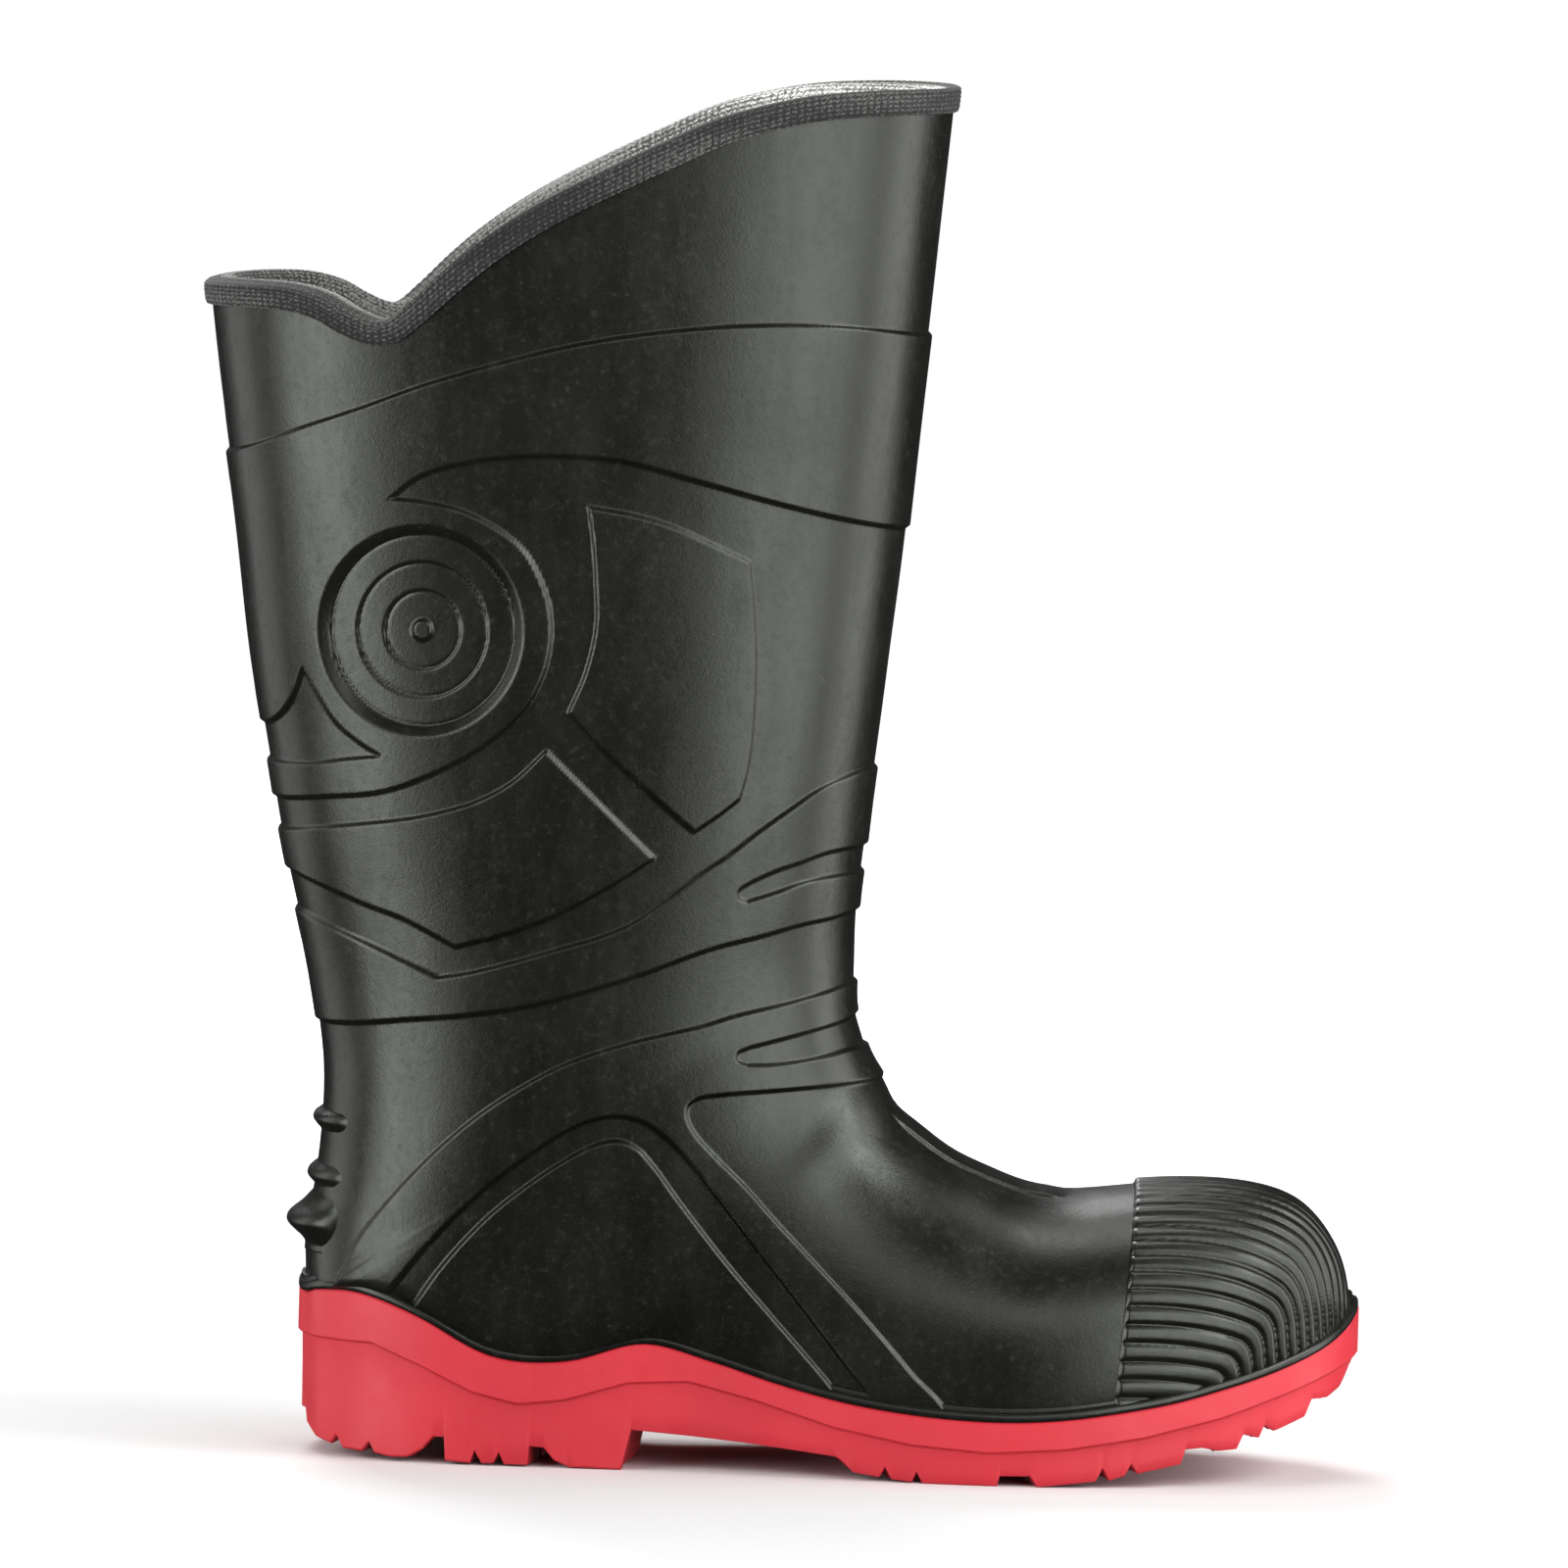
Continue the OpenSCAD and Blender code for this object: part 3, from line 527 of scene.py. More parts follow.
def touching(mask):
    """Which cells of twice the size touch a marked cell, or its neighbours."""
    m = mask | np.roll(mask, 1, 1) | np.roll(mask, -1, 1)
    up = np.zeros_like(m)
    up[1:] |= m[:-1]
    up[:-1] |= m[1:]
    m |= up
    return m.reshape(m.shape[0] // 2, 2, m.shape[1] // 2, 2).any((1, 3))


def cells_to_split(p, u, sides):
    """For each size of cell, the largest first, which ones are split in four."""
    size = FINE >> (DEPTH - 1)
    rows, cols = np.arange(0, N_UP + 1, size), np.arange(0, N_ROUND + size, size) % N_ROUND
    q = p[rows][:, cols][..., [0, 2]]
    corner = np.stack([q[:-1, :-1], q[1:, :-1], q[:-1, 1:], q[1:, 1:]])
    hit = holds_outline(corner.min(0) - 1.0, corner.max(0) + 1.0)
    middle = np.ix_(np.arange(0, N_UP, size) + size // 2, np.arange(0, N_ROUND, size) + size // 2)
    um, pm = u[middle], p[middle]
    y = np.abs(pm[..., 1] - section(um)[..., MIDDLE])
    seam = (np.abs(y - SEAM_Y - 0.4) < 1.0 + 0.6 * size) & (pm[..., 2] > SEAM_LOW_Z) \
        & (um > SEAM_ROWS[0] - 0.2) & (um < SEAM_ROWS[1] + 0.2)
    split = [(hit | seam) & (sides[middle] > 0.5) & (um >= COVERED)]
    while len(split) < DEPTH:
        split.insert(0, touching(split[0]))
    return split


def split_mesh(split):
    """Which points of the fine grid the cells use, their numbers, and the faces."""
    cells = []
    alive = np.ones((CELLS_UP, CELLS_ROUND), bool)
    for level in range(DEPTH + 1):
        parts = alive & split[level] if level < DEPTH else np.zeros_like(alive)
        i, j = np.nonzero(alive & ~parts)
        size = FINE >> level
        cells.append((size, i * size, j * size))
        alive = np.repeat(np.repeat(parts, 2, 0), 2, 1)
    used = np.zeros((N_UP + 1, N_ROUND), bool)
    for size, i, j in cells:
        for a in (0, size):
            for b in (0, size):
                used[i + a, (j + b) % N_ROUND] = True
    ids = np.full(used.shape, -1)
    ids[used] = np.arange(used.sum())
    faces = []
    for size, i, j in cells:
        half, end = size // 2, (j + size) % N_ROUND
        ring = [ids[i, j], ids[i, end], ids[i + size, end], ids[i + size, j]]
        if size == 1:
            faces += np.stack(ring, 1).tolist()
            continue
        # a smaller neighbour adds a point to the middle of an edge
        mid = (j + half) % N_ROUND
        mids = [ids[i, mid], ids[i + half, end], ids[i + size, mid], ids[i + half, j]]
        table = np.stack([v for pair in zip(ring, mids) for v in pair], 1)
        whole = (table[:, 1::2] < 0).all(1)
        faces += table[whole][:, ::2].tolist()
        faces += [[v for v in row if v >= 0] for row in table[~whole].tolist()]
    return used, ids, faces


def make_upper():
    """The black moulding: outer wall with its relief, inner wall, and a rim between them."""
    c = np.interp(np.arange(N_ROUND) / N_ROUND, PLACE_SHARE, PLACE_C)
    r = np.interp(np.linspace(FIRST_ROW, 1, N_UP + 1), ROW_SHARE, ROW_R)
    u = row_u(r[:, None], collar_u(c)[None, :])
    cc = np.broadcast_to(c[None, :], u.shape)
    p = surface(u, cc)
    p = p + heel_smoothing(p, u, cc)
    along = np.empty_like(p)
    along[1:-1] = p[2:] - p[:-2]
    along[0], along[-1] = p[1] - p[0], p[-1] - p[-2]
    n = unit_normals(np.roll(p, -1, 1) - np.roll(p, 1, 1), along, p)
    sides = np.where(u < HEEL - 0.5, smooth((from_low(cc) - FLAT + 0.005) / 0.02), 1.0)
    used, ids, faces = split_mesh(cells_to_split(p, u, sides))
    u, p, n, sides = u[used], p[used], n[used], sides[used]
    x, z = p[:, 0], p[:, 2]
    tilt = np.stack([lookup(SLOPE_X, x, z), np.zeros(len(p)), lookup(SLOPE_Z, x, z)], 1)
    tilt -= (tilt * n).sum(1, keepdims=True) * n
    lean = n - tilt * sides[:, None]
    lean /= np.linalg.norm(lean, axis=1, keepdims=True)
    heel_in = HEEL_IN * smooth((-95 - x) / 25) * smooth((66 - z) / 16)
    seam = seam_relief(p, u)
    outer = p + n * (lookup(RELIEF, x, z) * sides - heel_in + seam)[:, None]
    # inner wall
    c_in = c[::FINE]
    u_in = row_u(np.linspace(INNER_START, LAST, INNER_ROWS)[:, None], collar_u(c_in)[None, :])
    floor = np.maximum(UPPER_WALL, section(u_in)[..., THICK])
    wall = surface(u_in, c_in[None, :], UPPER_WALL, floor, UPPER_WALL)
    base, k = len(outer), len(c_in)
    pts = np.vstack([outer, wall.reshape(-1, 3)])
    faces += grid_faces(INNER_ROWS, k, wrap_cols=True, start=base, flip=True)
    faces.append([base + i for i in range(k)])
    # top rim, and the tip of the toe
    top = ids[-1][used[-1]]
    where = np.searchsorted(np.nonzero(used[-1])[0], np.arange(k) * FINE)
    last = base + (INNER_ROWS - 1) * k
    for i in range(k):
        a, b = where[i], where[i + 1] if i + 1 < k else len(top)
        run = [int(top[t % len(top)]) for t in range(a, b + 1)]
        faces.append(run + [last + (i + 1) % k, last + i])
    faces.append(ids[0][used[0]].tolist()[::-1])
    # normals: exact on the outside, from the faces on the rest
    obj = add_mesh("boot_upper", pts, faces)
    mesh = obj.data
    vn = np.zeros(len(pts) * 3, np.float32)
    mesh.vertices.foreach_get("normal", vn)
    vn = vn.reshape(-1, 3)
    exact = (np.abs(seam) <= 1e-4) & (u >= 0.3)
    vn[:base][exact] = lean[exact]
    mesh.normals_split_custom_set_from_vertices(vn.tolist())
    mesh.update()
    return obj


# ---- toe guard

RIB_TOP, RIB_FRONT = 5.2, 4.9       # distance between ribs over the toes and round the tip
RIB_H, RIB_SHARPNESS = 1.25, 3.2
RIB_SHIFT, TIP_SHIFT = 0.55, 1.5    # where the first rib of each kind lies
RIB_LEAN, LEAN_FROM = 0.22, 30      # the ribs of the tip lean back lower down
RIB_ROUND = 0.9                     # radius of the ribs' rear ends
GUARD_START, GUARD_END = 0.03, 8.0  # sections
GUARD_ROWS, GUARD_COLS = 170, 460
GUARD_BASE, GUARD_BACK = 0.3, 0.7   # the valleys' height, and how deep the hidden face lies
BACK_ROWS, BACK_COLS = 9, 17        # its grid is this much coarser


def smooth_min(a, b, k):
    h = np.clip(0.5 + 0.5 * (b - a) / k, 0, 1)
    return b * (1 - h) + a * h - k * h * (1 - h)


def make_guard():
    """Ribbed cover: ribs run back over the toes and bend down round the tip."""
    u = GUARD_START + (GUARD_END - GUARD_START) * np.linspace(0, 1, GUARD_ROWS) ** 0.8
    c = np.interp(np.linspace(0.0, 1.0, GUARD_COLS), PLACE_SHARE, PLACE_C)
    low = FLAT / 2 + 0.002
    c = low + (1 - 2 * low) * (c - c[0]) / (c[-1] - c[0])
    p = surface(u[:, None], c[None])
    along = np.gradient(p, axis=0)
    n = unit_normals(np.gradient(p, axis=1), along, p)
    # arc lengths: down from the ridge over the toes and back from the tip
    run = np.array([lengths(row) for row in p])
    ridge = np.array([np.interp(0.5, c, row) for row in run])
    from_ridge = np.abs(run - ridge[:, None])
    from_tip = lengths(surface(u, FLAT / 2))[:, None]
    a = from_ridge / RIB_TOP + RIB_SHIFT
    b = (from_tip + TIP_SHIFT + RIB_LEAN * np.maximum(from_ridge - LEAN_FROM, 0)) / RIB_FRONT
    bend = 0.9 + 2.2 * smooth((12 - np.minimum(a, b)) / 8)
    wave = np.abs(2 * np.mod(smooth_min(a, b, bend) + 0.5, 1) - 1)
    back = np.linalg.norm(surface(GUARD_END, c)[None] - p, axis=-1)
    end = np.sqrt(np.clip(1 - np.clip(1 - back / RIB_ROUND, 0, 1) ** 2, 0, 1))
    h = GUARD_BASE + RIB_H * (1 - wave ** RIB_SHARPNESS) * end
    # rear edge turned down into the upper, the ribs standing out a little over the valleys
    backwards = along[-1] / np.linalg.norm(along[-1], axis=1, keepdims=True)
    out = (0.1 + 0.25 * (1 - wave[-1] ** 2))[:, None]
    lip = p[-1] + n[-1] * 0.5 * GUARD_BASE + backwards * out
    skirt = p[-1] - n[-1] * 0.5 + backwards * (out + 0.1)
    buried = skirt - n[-1] * GUARD_BASE
    face = np.concatenate([p + n * h[..., None], lip[None], skirt[None]])
    behind = np.concatenate([p - n * GUARD_BACK, buried[None], buried[None]])[::BACK_ROWS, ::BACK_COLS]
    pts = np.vstack([face.reshape(-1, 3), behind.reshape(-1, 3)])
    return add_mesh("guard", pts, closed_faces(*face.shape[:2], BACK_ROWS, BACK_COLS))


# ---- bead and sole

NEAR = 0.05         # part of a section, to find which way the edge runs
HEEL_LEDGE = 2      # how much narrower the ledge is behind the heel


def feather(u, d):
    """The edge of the bottom at section u moved out by d: x, half width, z, middle line."""
    s, a, b = section(u), section(np.maximum(u - NEAR, 0)), section(np.minimum(u + NEAR, HEEL))
    t = np.stack([b[..., BACK_X] - a[..., BACK_X], b[..., LOW_HALF] - a[..., LOW_HALF]], -1)
    t /= np.maximum(np.linalg.norm(t, axis=-1, keepdims=True), 1e-9)
    return s[..., BACK_X] + t[..., 1] * d, s[..., LOW_HALF] - t[..., 0] * d, s[..., BACK_Z], s[..., MIDDLE]


def ledge_at(u):
    """Width of the sole's ledge at section u."""
    return LEDGE - HEEL_LEDGE * smooth((np.minimum(u, HEEL) - 17.5) / 3.5)


def feather_loop(spacing):
    """Closed line of the feather edge, evenly spaced and rounded at both ends, with its outward
    directions and how much narrower than LEDGE the ledge is there."""
    u = np.linspace(0, HEEL, 1200)
    x, e, z, y = feather(u, 0)
    loop = np.vstack([np.stack([x, y - e, z], 1)[::-1], np.stack([x, y + e, z], 1)])
    loop = np.vstack([loop, loop[:1]])
    run = lengths(loop)
    n = int(run[-1] / spacing)
    at = np.linspace(0, run[-1], n, endpoint=False)
    even = np.stack([np.interp(at, run, loop[:, k]) for k in range(3)], 1)
    less = LEDGE - ledge_at(np.interp(at, run, np.concatenate([u[::-1], u, u[-1:]])))
    for _ in range(6):
        even = (np.roll(even, 1, 0) + 2 * even + np.roll(even, -1, 0)) / 4
    t = np.roll(even, -1, 0) - np.roll(even, 1, 0)
    out = np.stack([t[:, 1], -t[:, 0], np.zeros(n)], 1)
    out /= np.linalg.norm(out, axis=1, keepdims=True)
    return even, out if (out * (even - even.mean(0))).sum() > 0 else -out, less


# Cross-section of the bead: distance out from the feather edge, height over it
BEAD = np.array([(-1.4, 0.1), (3.0, 0.1), (3.35, 0.5), (3.45, 1.1), (3.4, 1.7), (3.1, 2.35), (2.5, 2.75),
                 (1.95, 2.8), (1.75, 2.95), (1.8, 3.3), (1.7, 3.8), (1.3, 4.2), (0.8, 4.35), (-1.4, 4.35)])


def make_bead():
    line, out, less = feather_loop(1.4)
    k = np.arange(len(line))[:, None]
    wobble = 1 + 0.02 * np.sin(k * 0.37) + 0.015 * np.sin(k * 0.11)
    reach = BEAD[:, 0] * wobble - less[:, None] * np.clip(BEAD[:, 0] / LEDGE, 0, 1)
    pts = line[:, None] + out[:, None] * reach[..., None]
    pts[..., 2] += BEAD[:, 1]
    return add_mesh("bead", pts.reshape(-1, 3), grid_faces(len(line), len(BEAD), True, True, flip=True))


# Side view of the sole, from heel to toe: the edge of the lip, the tread at the side, the floor of
# the tread, and how far the lugs slant forwards on their way to the middle
LIP = np.array([
    (-140, 33), (-112, 33.5), (-98, 28), (-83, 21), (-70, 18), (-57, 19.5), (-39, 25), (-22, 26),
    (-3, 21.5), (19, 15), (41, 11), (63, 9.5), (85, 11), (107, 14.5), (129, 20), (149, 27), (172, 36)])
TREAD = np.array([
    (-137, 25), (-134, 21), (-131.3, 17.3), (-129.9, 7.2), (-127.1, 4.3), (-122.7, 3.2), (-121, 5.8),
    (-119.2, 2.4), (-113.8, 2.1), (-111.6, 4.9), (-110.1, 2), (-106, 1.2), (-100.8, 1.4), (-96.7, 3.8),
    (-94.6, 6.4), (-93.5, 7.6), (-90.4, 7.7), (-90, 1), (-83, 0.5), (-81.7, 3.9), (-79.7, 0.6),
    (-76.4, 0.7),
    (-74.8, 3.6), (-73.3, 0.5), (-66.7, 0.5), (-66.3, 5.8), (-62.2, 5.6), (-59.3, 2.1), (-55.1, 0.3),
    (-40.4, 0), (-37.7, 11.4), (-22, 10.4), (-5.5, 9.1), (20, 6.4), (21.6, 5.4), (25.1, 2.2), (32.5, 1.2),
    (34.1, 4), (35.9, 0.8), (41.7, 0.2), (43, 3), (44.7, 0), (65.7, 0), (66.4, 2.8), (74.9, 3), (77, 0),
    (93.5, 1.8), (95.3, 5.4), (97.3, 2.1), (101.7, 3.5), (103.3, 6.6), (105.3, 4.1), (117.4, 6.7),
    (118.7, 10.9), (123.7, 11.3), (128.2, 10.4), (133.2, 10.8), (135, 14.9), (139.5, 13.9), (140.9, 17.2),
    (144, 15.6), (152.4, 19.1), (154.3, 23.9), (158.9, 23.8), (162.4, 25.8), (165.4, 31), (169, 36)])
TREAD_FLOOR = np.array([
    (-140, 24), (-131, 12), (-128, 5), (-120, 3), (-106, 1), (-41, 0), (-38, 11.4), (-22, 10.4), (20, 6.4),
    (25, 2.2), (34, 0.8), (44, 0), (80, 0), (94, 1.6), (104, 3.6), (118, 6.8), (134, 10.6), (144, 15.4),
    (152, 19), (160, 24), (166, 31), (172, 36)])
SLANT = np.array([(-137, 0), (-128, 3), (-112, 6), (-45, 6), (-20, 0), (20, 0), (34, -8), (110, -8),
                  (150, -5), (169, 0)])
HEEL_LUGS, TOE_LUGS = (-128, -41), (24, 150)
TREAD_IN = 2.4              # the tread's side lies this far inside the lip
CHAMFER = 0.45              # length of the slopes at each corner of the tread
HEEL_ROUND, TOE_ROUND = 1.3, 0.5
END_SHARES = (0.15, 0.5, 0.8)
# Across the underside: share of the half width, and height of the groove's floor over the lugs
UNDERSIDE = ((0.93, 0), (0.8, 0), (0.6, 0), (0.52, 0), (0.5, 3.4), (0.4, 3.4), (0.38, 0), (0.2, 0),
             (0.07, 0), (0.05, 4.2), (0.0, 4.2))
DEEPEST = 4.2


def profile(line, x):
    return np.interp(x, line[:, 0], line[:, 1])


def sole_sections():
    """Section numbers that put a row of the sole's mesh at every corner of the tread."""
    dense = np.concatenate([np.linspace(0, 1, 300)[:-1], np.linspace(1, HEEL, 2000)])
    xs = np.minimum.accumulate(feather(dense, ledge_at(dense) - TREAD_IN)[0])
    corners = (TREAD[:, :1] + [[-CHAMFER, 0, CHAMFER]]).reshape(-1)
    want = np.unique(np.round(np.concatenate([np.arange(-134.5, 167, 1.6), corners]), 2))
    want = want[(want > xs[-1] + 0.1) & (want < xs[0] - 0.1)]
    keep = [want[0]]
    for x in want[1:]:
        if x - keep[-1] > 0.2:
            keep.append(x)
    return np.concatenate([[HEEL], np.interp(-np.array(keep), -xs, dense), [0.0]])


def make_sole():
    """Red sole: its top, the side with its lip, and the underside with lugs, mirrored to the other side."""
    u = sole_sections()
    ledge = ledge_at(u) - HEEL_ROUND * smooth(u - HEEL + 1)
    side = []

    def line(inset, z, x_shift=0.0, share=1.0):
        """A line along the sole, that far inside the ledge's edge."""
        x, half, _, _ = feather(u, inset)
        side.append(np.stack([x + x_shift, half * share, z], 1))

    x_g, _, z_f, y_m = feather(u, ledge - TREAD_IN)
    x_g[0] -= 0.6
    lip = profile(LIP, feather(u, ledge)[0])
    edge = np.minimum(profile(TREAD, x_g), lip - 2.2)
    floor = profile(TREAD_FLOOR, x_g)
    line(-4, z_f)
    line(ledge - 0.7, z_f + 0.15)
    line(ledge - 0.35, z_f - 0.1)
    line(ledge, z_f - 0.6)
    for t in (0.35, 0.7):
        line(ledge, (z_f - 0.6) * (1 - t) + lip * t)
    line(ledge, lip + 0.4)
    line(ledge - 0.35, lip - 0.05)
    line(ledge - 1.2, lip - 0.35)
    line(ledge - 1.35, lip - 0.9)
    for t in (0.33, 0.66):
        line(ledge - 1.35 - 0.65 * t, (lip - 0.9) * (1 - t) + (edge + 0.7) * t)
    line(ledge - 2.0, edge + 0.7)
    x, half, _, _ = feather(u, ledge - TREAD_IN)
    x[0] = x_g[0]
    side.append(np.stack([x, half, edge + 0.15], 1))
    line(ledge - 3.2, edge)
    slant = profile(SLANT, x_g)
    lugs = sum((x_g > a) & (x_g < b) for a, b in (HEEL_LUGS, TOE_LUGS)) > 0
    deep = floor + np.where(edge - floor > 1.2, np.maximum(edge - floor, DEEPEST), 0)
    for share, rise in UNDERSIDE:
        z = edge if share > 0.9 else np.where(lugs, np.maximum(deep, floor + rise), deep)
        line(ledge - 3.2, z, slant * (1 - share), share)
    side = np.array(side)
    # the flat ends at heel and toe bulge out to round ones
    heel_end, toe_end = [], []
    for f in END_SHARES:
        for row, out, ends in ((0, -HEEL_ROUND, heel_end), (-1, TOE_ROUND, toe_end)):
            end = side[:, row].copy()
            end[:, 0] += out * (1 - f ** 2)
            end[:, 1] *= f
            ends.append(end)
    side = np.concatenate([np.stack(heel_end, 1), side, np.stack(toe_end[::-1], 1)], 1)
    y_m = np.pad(y_m, len(END_SHARES), "edge")
    outer, inner = side.copy(), side.copy()
    outer[..., 1], inner[..., 1] = y_m - side[..., 1], y_m + side[..., 1]
    ring = np.concatenate([outer, inner[-2::-1]], 0)   # outer side down, across, inner side up
    n, m = ring.shape[:2]
    faces = grid_faces(m, n, wrap_cols=True)
    faces.append(list(range(n))[::-1])
    faces.append(list(range((m - 1) * n, m * n)))
    obj = add_mesh("sole", ring.transpose(1, 0, 2).reshape(-1, 3), faces)
    obj.data.set_sharp_from_angle(angle=math.radians(34))
    return obj


# ---- heel ledges

# Height, and how far the ledges stand out of the heel there
LEDGE_FORM = np.array([
    (57, -0.6), (59, -0.5), (60.5, 0.7), (62.5, 3.2), (64, 5.0), (65.2, 5.8), (66.2, 5.7), (67.6, 4.6),
    (69.5, 2.6), (71.5, 1.1), (73.6, -0.3), (75, -0.5), (76, 0.4), (77.3, 1.8), (78.4, 2.5), (79.4, 2.3),
    (80.8, 1.0), (82, -0.2), (83, -0.5), (90.5, -0.5), (91.6, 0.5), (93, 1.8), (94.3, 2.6), (95.3, 2.3),
    (96.5, 0.8), (97.4, -0.3), (99, -0.5)])
LEDGE_REACH = 10.5      # how far forwards they run out
LEDGE_SINK = 2.5        # how deep their ends go into the heel
LEDGE_BACK = 0.75       # depth of the hidden face
LEDGE_STEP = 4          # its grid is this much coarser
LEDGE_PLACES, LEDGE_COLS = 0.2, 121


def make_ledges():
    z = np.arange(57, 99.01, 0.5)
    out = profile(curve(LEDGE_FORM, 0.3), z)[:, None]
    zz, cc = np.meshgrid(z, np.linspace(-LEDGE_PLACES, LEDGE_PLACES, LEDGE_COLS), indexing="ij")
    p = surface(bisect(14, 31, zz.shape, lambda u: surface(u, cc)[..., 2] > zz), cc)
    t = np.gradient(p, axis=1)
    n = np.stack([t[..., 1], -t[..., 0], np.zeros(zz.shape)], -1)
    n /= np.linalg.norm(n, axis=-1, keepdims=True)
    back = LEDGE_COLS // 2
    if n[len(z) // 2, back, 0] > 0:
        n = -n
    taper = 1 - np.clip((p[..., 0] - p[:, back:back + 1, 0]) / LEDGE_REACH, 0, 1) ** 1.6
    sink = LEDGE_SINK * (1 - taper) ** 2
    h = np.where(out > 0, out * taper, out) - sink
    behind = (p - n * (sink + LEDGE_BACK)[..., None])[::LEDGE_STEP, ::LEDGE_STEP]
    pts = np.vstack([(p + n * h[..., None]).reshape(-1, 3), behind.reshape(-1, 3)])
    return add_mesh("heel_ledges", pts, closed_faces(*zz.shape, LEDGE_STEP, LEDGE_STEP))


# ---- collar binding

BIND = 1.5              # thickness
BIND_DEEP = UPPER_WALL + GAP + LINING + 0.15
BIND_BACK = BIND_DEEP + BIND
# Its form: depth under the collar's edge, and distance out from the upper's outer face
BIND_FORM = [
    (3.5, -0.25), (3.75, 0.3), (3.8, 0.9), (3.6, 1.3), (3.1, BIND), (-1.6, BIND + 0.05), (-2.6, BIND - 0.2),
    (-3.15, 0.5), (-3.35, -1.0), (-3.4, -2.5), (-3.3, -3.9), (-2.8, -5.4), (-1.7, 0.25 - BIND_BACK),
    (-0.3, -BIND_BACK), (7.0, -BIND_BACK), (7.5, 0.2 - BIND_BACK), (7.8, -BIND_DEEP - 0.8),
    (7.7, -BIND_DEEP)]
BIND_ROWS, BIND_COLS = 78, 1120
LOW_BACK = 0.28         # how much lower its top is at the back
STITCH_X, STITCH_W = 1.35, 1.25     # size of a stitch
STITCH_H = 0.42
UNEVEN = 0.10           # height of the slow waves in the knit


def make_binding():
    """Knit band folded over the collar edge, with its stitches as relief."""
    c = np.interp(np.linspace(0, 1, 2400, endpoint=False), PLACE_SHARE, PLACE_C)
    edge = surface(collar_u(c), c)
    run = lengths(np.vstack([edge, edge[:1]]))
    c = np.interp(np.linspace(0, run[-1], BIND_COLS, endpoint=False), run, np.append(c, 1.0))
    top = collar_u(c)
    edge = surface(top, c)
    tangent = np.roll(edge, -1, 0) - np.roll(edge, 1, 0)
    tangent /= np.linalg.norm(tangent, axis=1, keepdims=True)
    up = (surface(top + 0.02, c) - surface(top - 0.02, c)) / 0.04
    per = np.linalg.norm(np.cross(up, tangent), axis=1)     # millimetres in a section number
    form = curve(BIND_FORM, 0.2)
    length = lengths(form)
    w = np.linspace(0, length[-1], BIND_ROWS)[:, None]
    deep, off = (np.interp(w, length, form[:, k]) for k in (0, 1))
    deep = deep * np.where(deep < 0, 1 - LOW_BACK * smooth((-95 - edge[:, 0]) / 30), 1)
    u = top - deep / per
    extra = np.where(off < 0.1 - BIND_DEEP, np.maximum(section(u)[..., THICK] - UPPER_WALL, 0), 0)
    p = surface(u, c[None], -off, extra - off, -off)
    outer = slice(0, BIND_ROWS // 3)
    n = unit_normals(np.roll(p, -1, 1) - np.roll(p, 1, 1), np.gradient(p, axis=0), p, outer)
    x = run[-1] * np.arange(BIND_COLS) / BIND_COLS
    phase = 2 * math.pi * round(run[-1] / STITCH_X) * np.arange(BIND_COLS) / BIND_COLS
    leg = np.abs(np.mod(phase / math.pi, 2) - 1)
    v = np.abs(np.sin(math.pi * (w / STITCH_W + 0.5 * leg)))
    h = STITCH_H * v ** 0.8 * (0.45 + 0.55 * np.abs(np.sin(phase)) ** 0.6)
    h += UNEVEN * np.sin(x * 0.061) * np.sin(w * 0.3 + x * 0.023)
    fade = np.minimum(np.minimum(w, length[-1] - w), 1)
    p = p + n * ((h - 0.12) * fade)[..., None]
    obj = add_mesh("binding", p.reshape(-1, 3), grid_faces(BIND_ROWS, BIND_COLS, True, True))
    # Weight of the inside colour: 1 on the inner face, which is paler partly as its own fabric and partly
    # as painted light from above, and cut down towards the back of the collar as painted shade
    inside_painted_light_back_shade = smooth((-off - 2.0) / 2.5) * (0.3 + 0.7 * smooth((edge[:, 0] + 70) / 70))
    point_attribute(obj, "inside_painted_light_back_shade", inside_painted_light_back_shade.reshape(-1))
    # Stitch height, which the binding's material also uses for a painted highlight on the stitch crowns
    point_attribute(obj, "stitch", (h / 0.5).reshape(-1))
    return obj


# ---- lining

LINING_START = 4.4
LINING_ROWS, LINING_COLS = 150, 200


def make_lining():
    """Knit sock inside the upper, over the toe cap and the insole board."""
    rows, cols = LINING_ROWS, LINING_COLS
    r = np.interp(np.linspace(0, 1, rows), ROW_SHARE, ROW_R)
    r = LINING_START + (r - r[0]) * (LAST - LINING_START) / (LAST - r[0])
    c = np.interp(np.arange(cols) / cols, PLACE_SHARE, PLACE_C)
    u = row_u(r[:, None], collar_u(c)[None])
    d = UPPER_WALL + GAP + (CAP + 0.2) * (1 - smooth((u - CAP_END - 1) / 2))
    b = np.maximum(UPPER_WALL, section(u)[..., THICK]) + GAP
    lift = 3.5 * (1 - smooth((u - 19.6) / 2.4))
    pts = np.vstack([surface(u, c[None], d + t, b + t, d + t, lift).reshape(-1, 3) for t in (0.0, LINING)])
    n = rows * cols
    faces = grid_faces(rows, cols, wrap_cols=True)
    faces += grid_faces(rows, cols, wrap_cols=True, start=n, flip=True)
    faces += [list(range(cols))[::-1], list(range(n, n + cols))]
    a = n - cols
    faces += [[a + i, a + (i + 1) % cols, n + a + (i + 1) % cols, n + a + i] for i in range(cols)]
    return add_mesh("knit_lining", pts, faces)


# ---- footbed

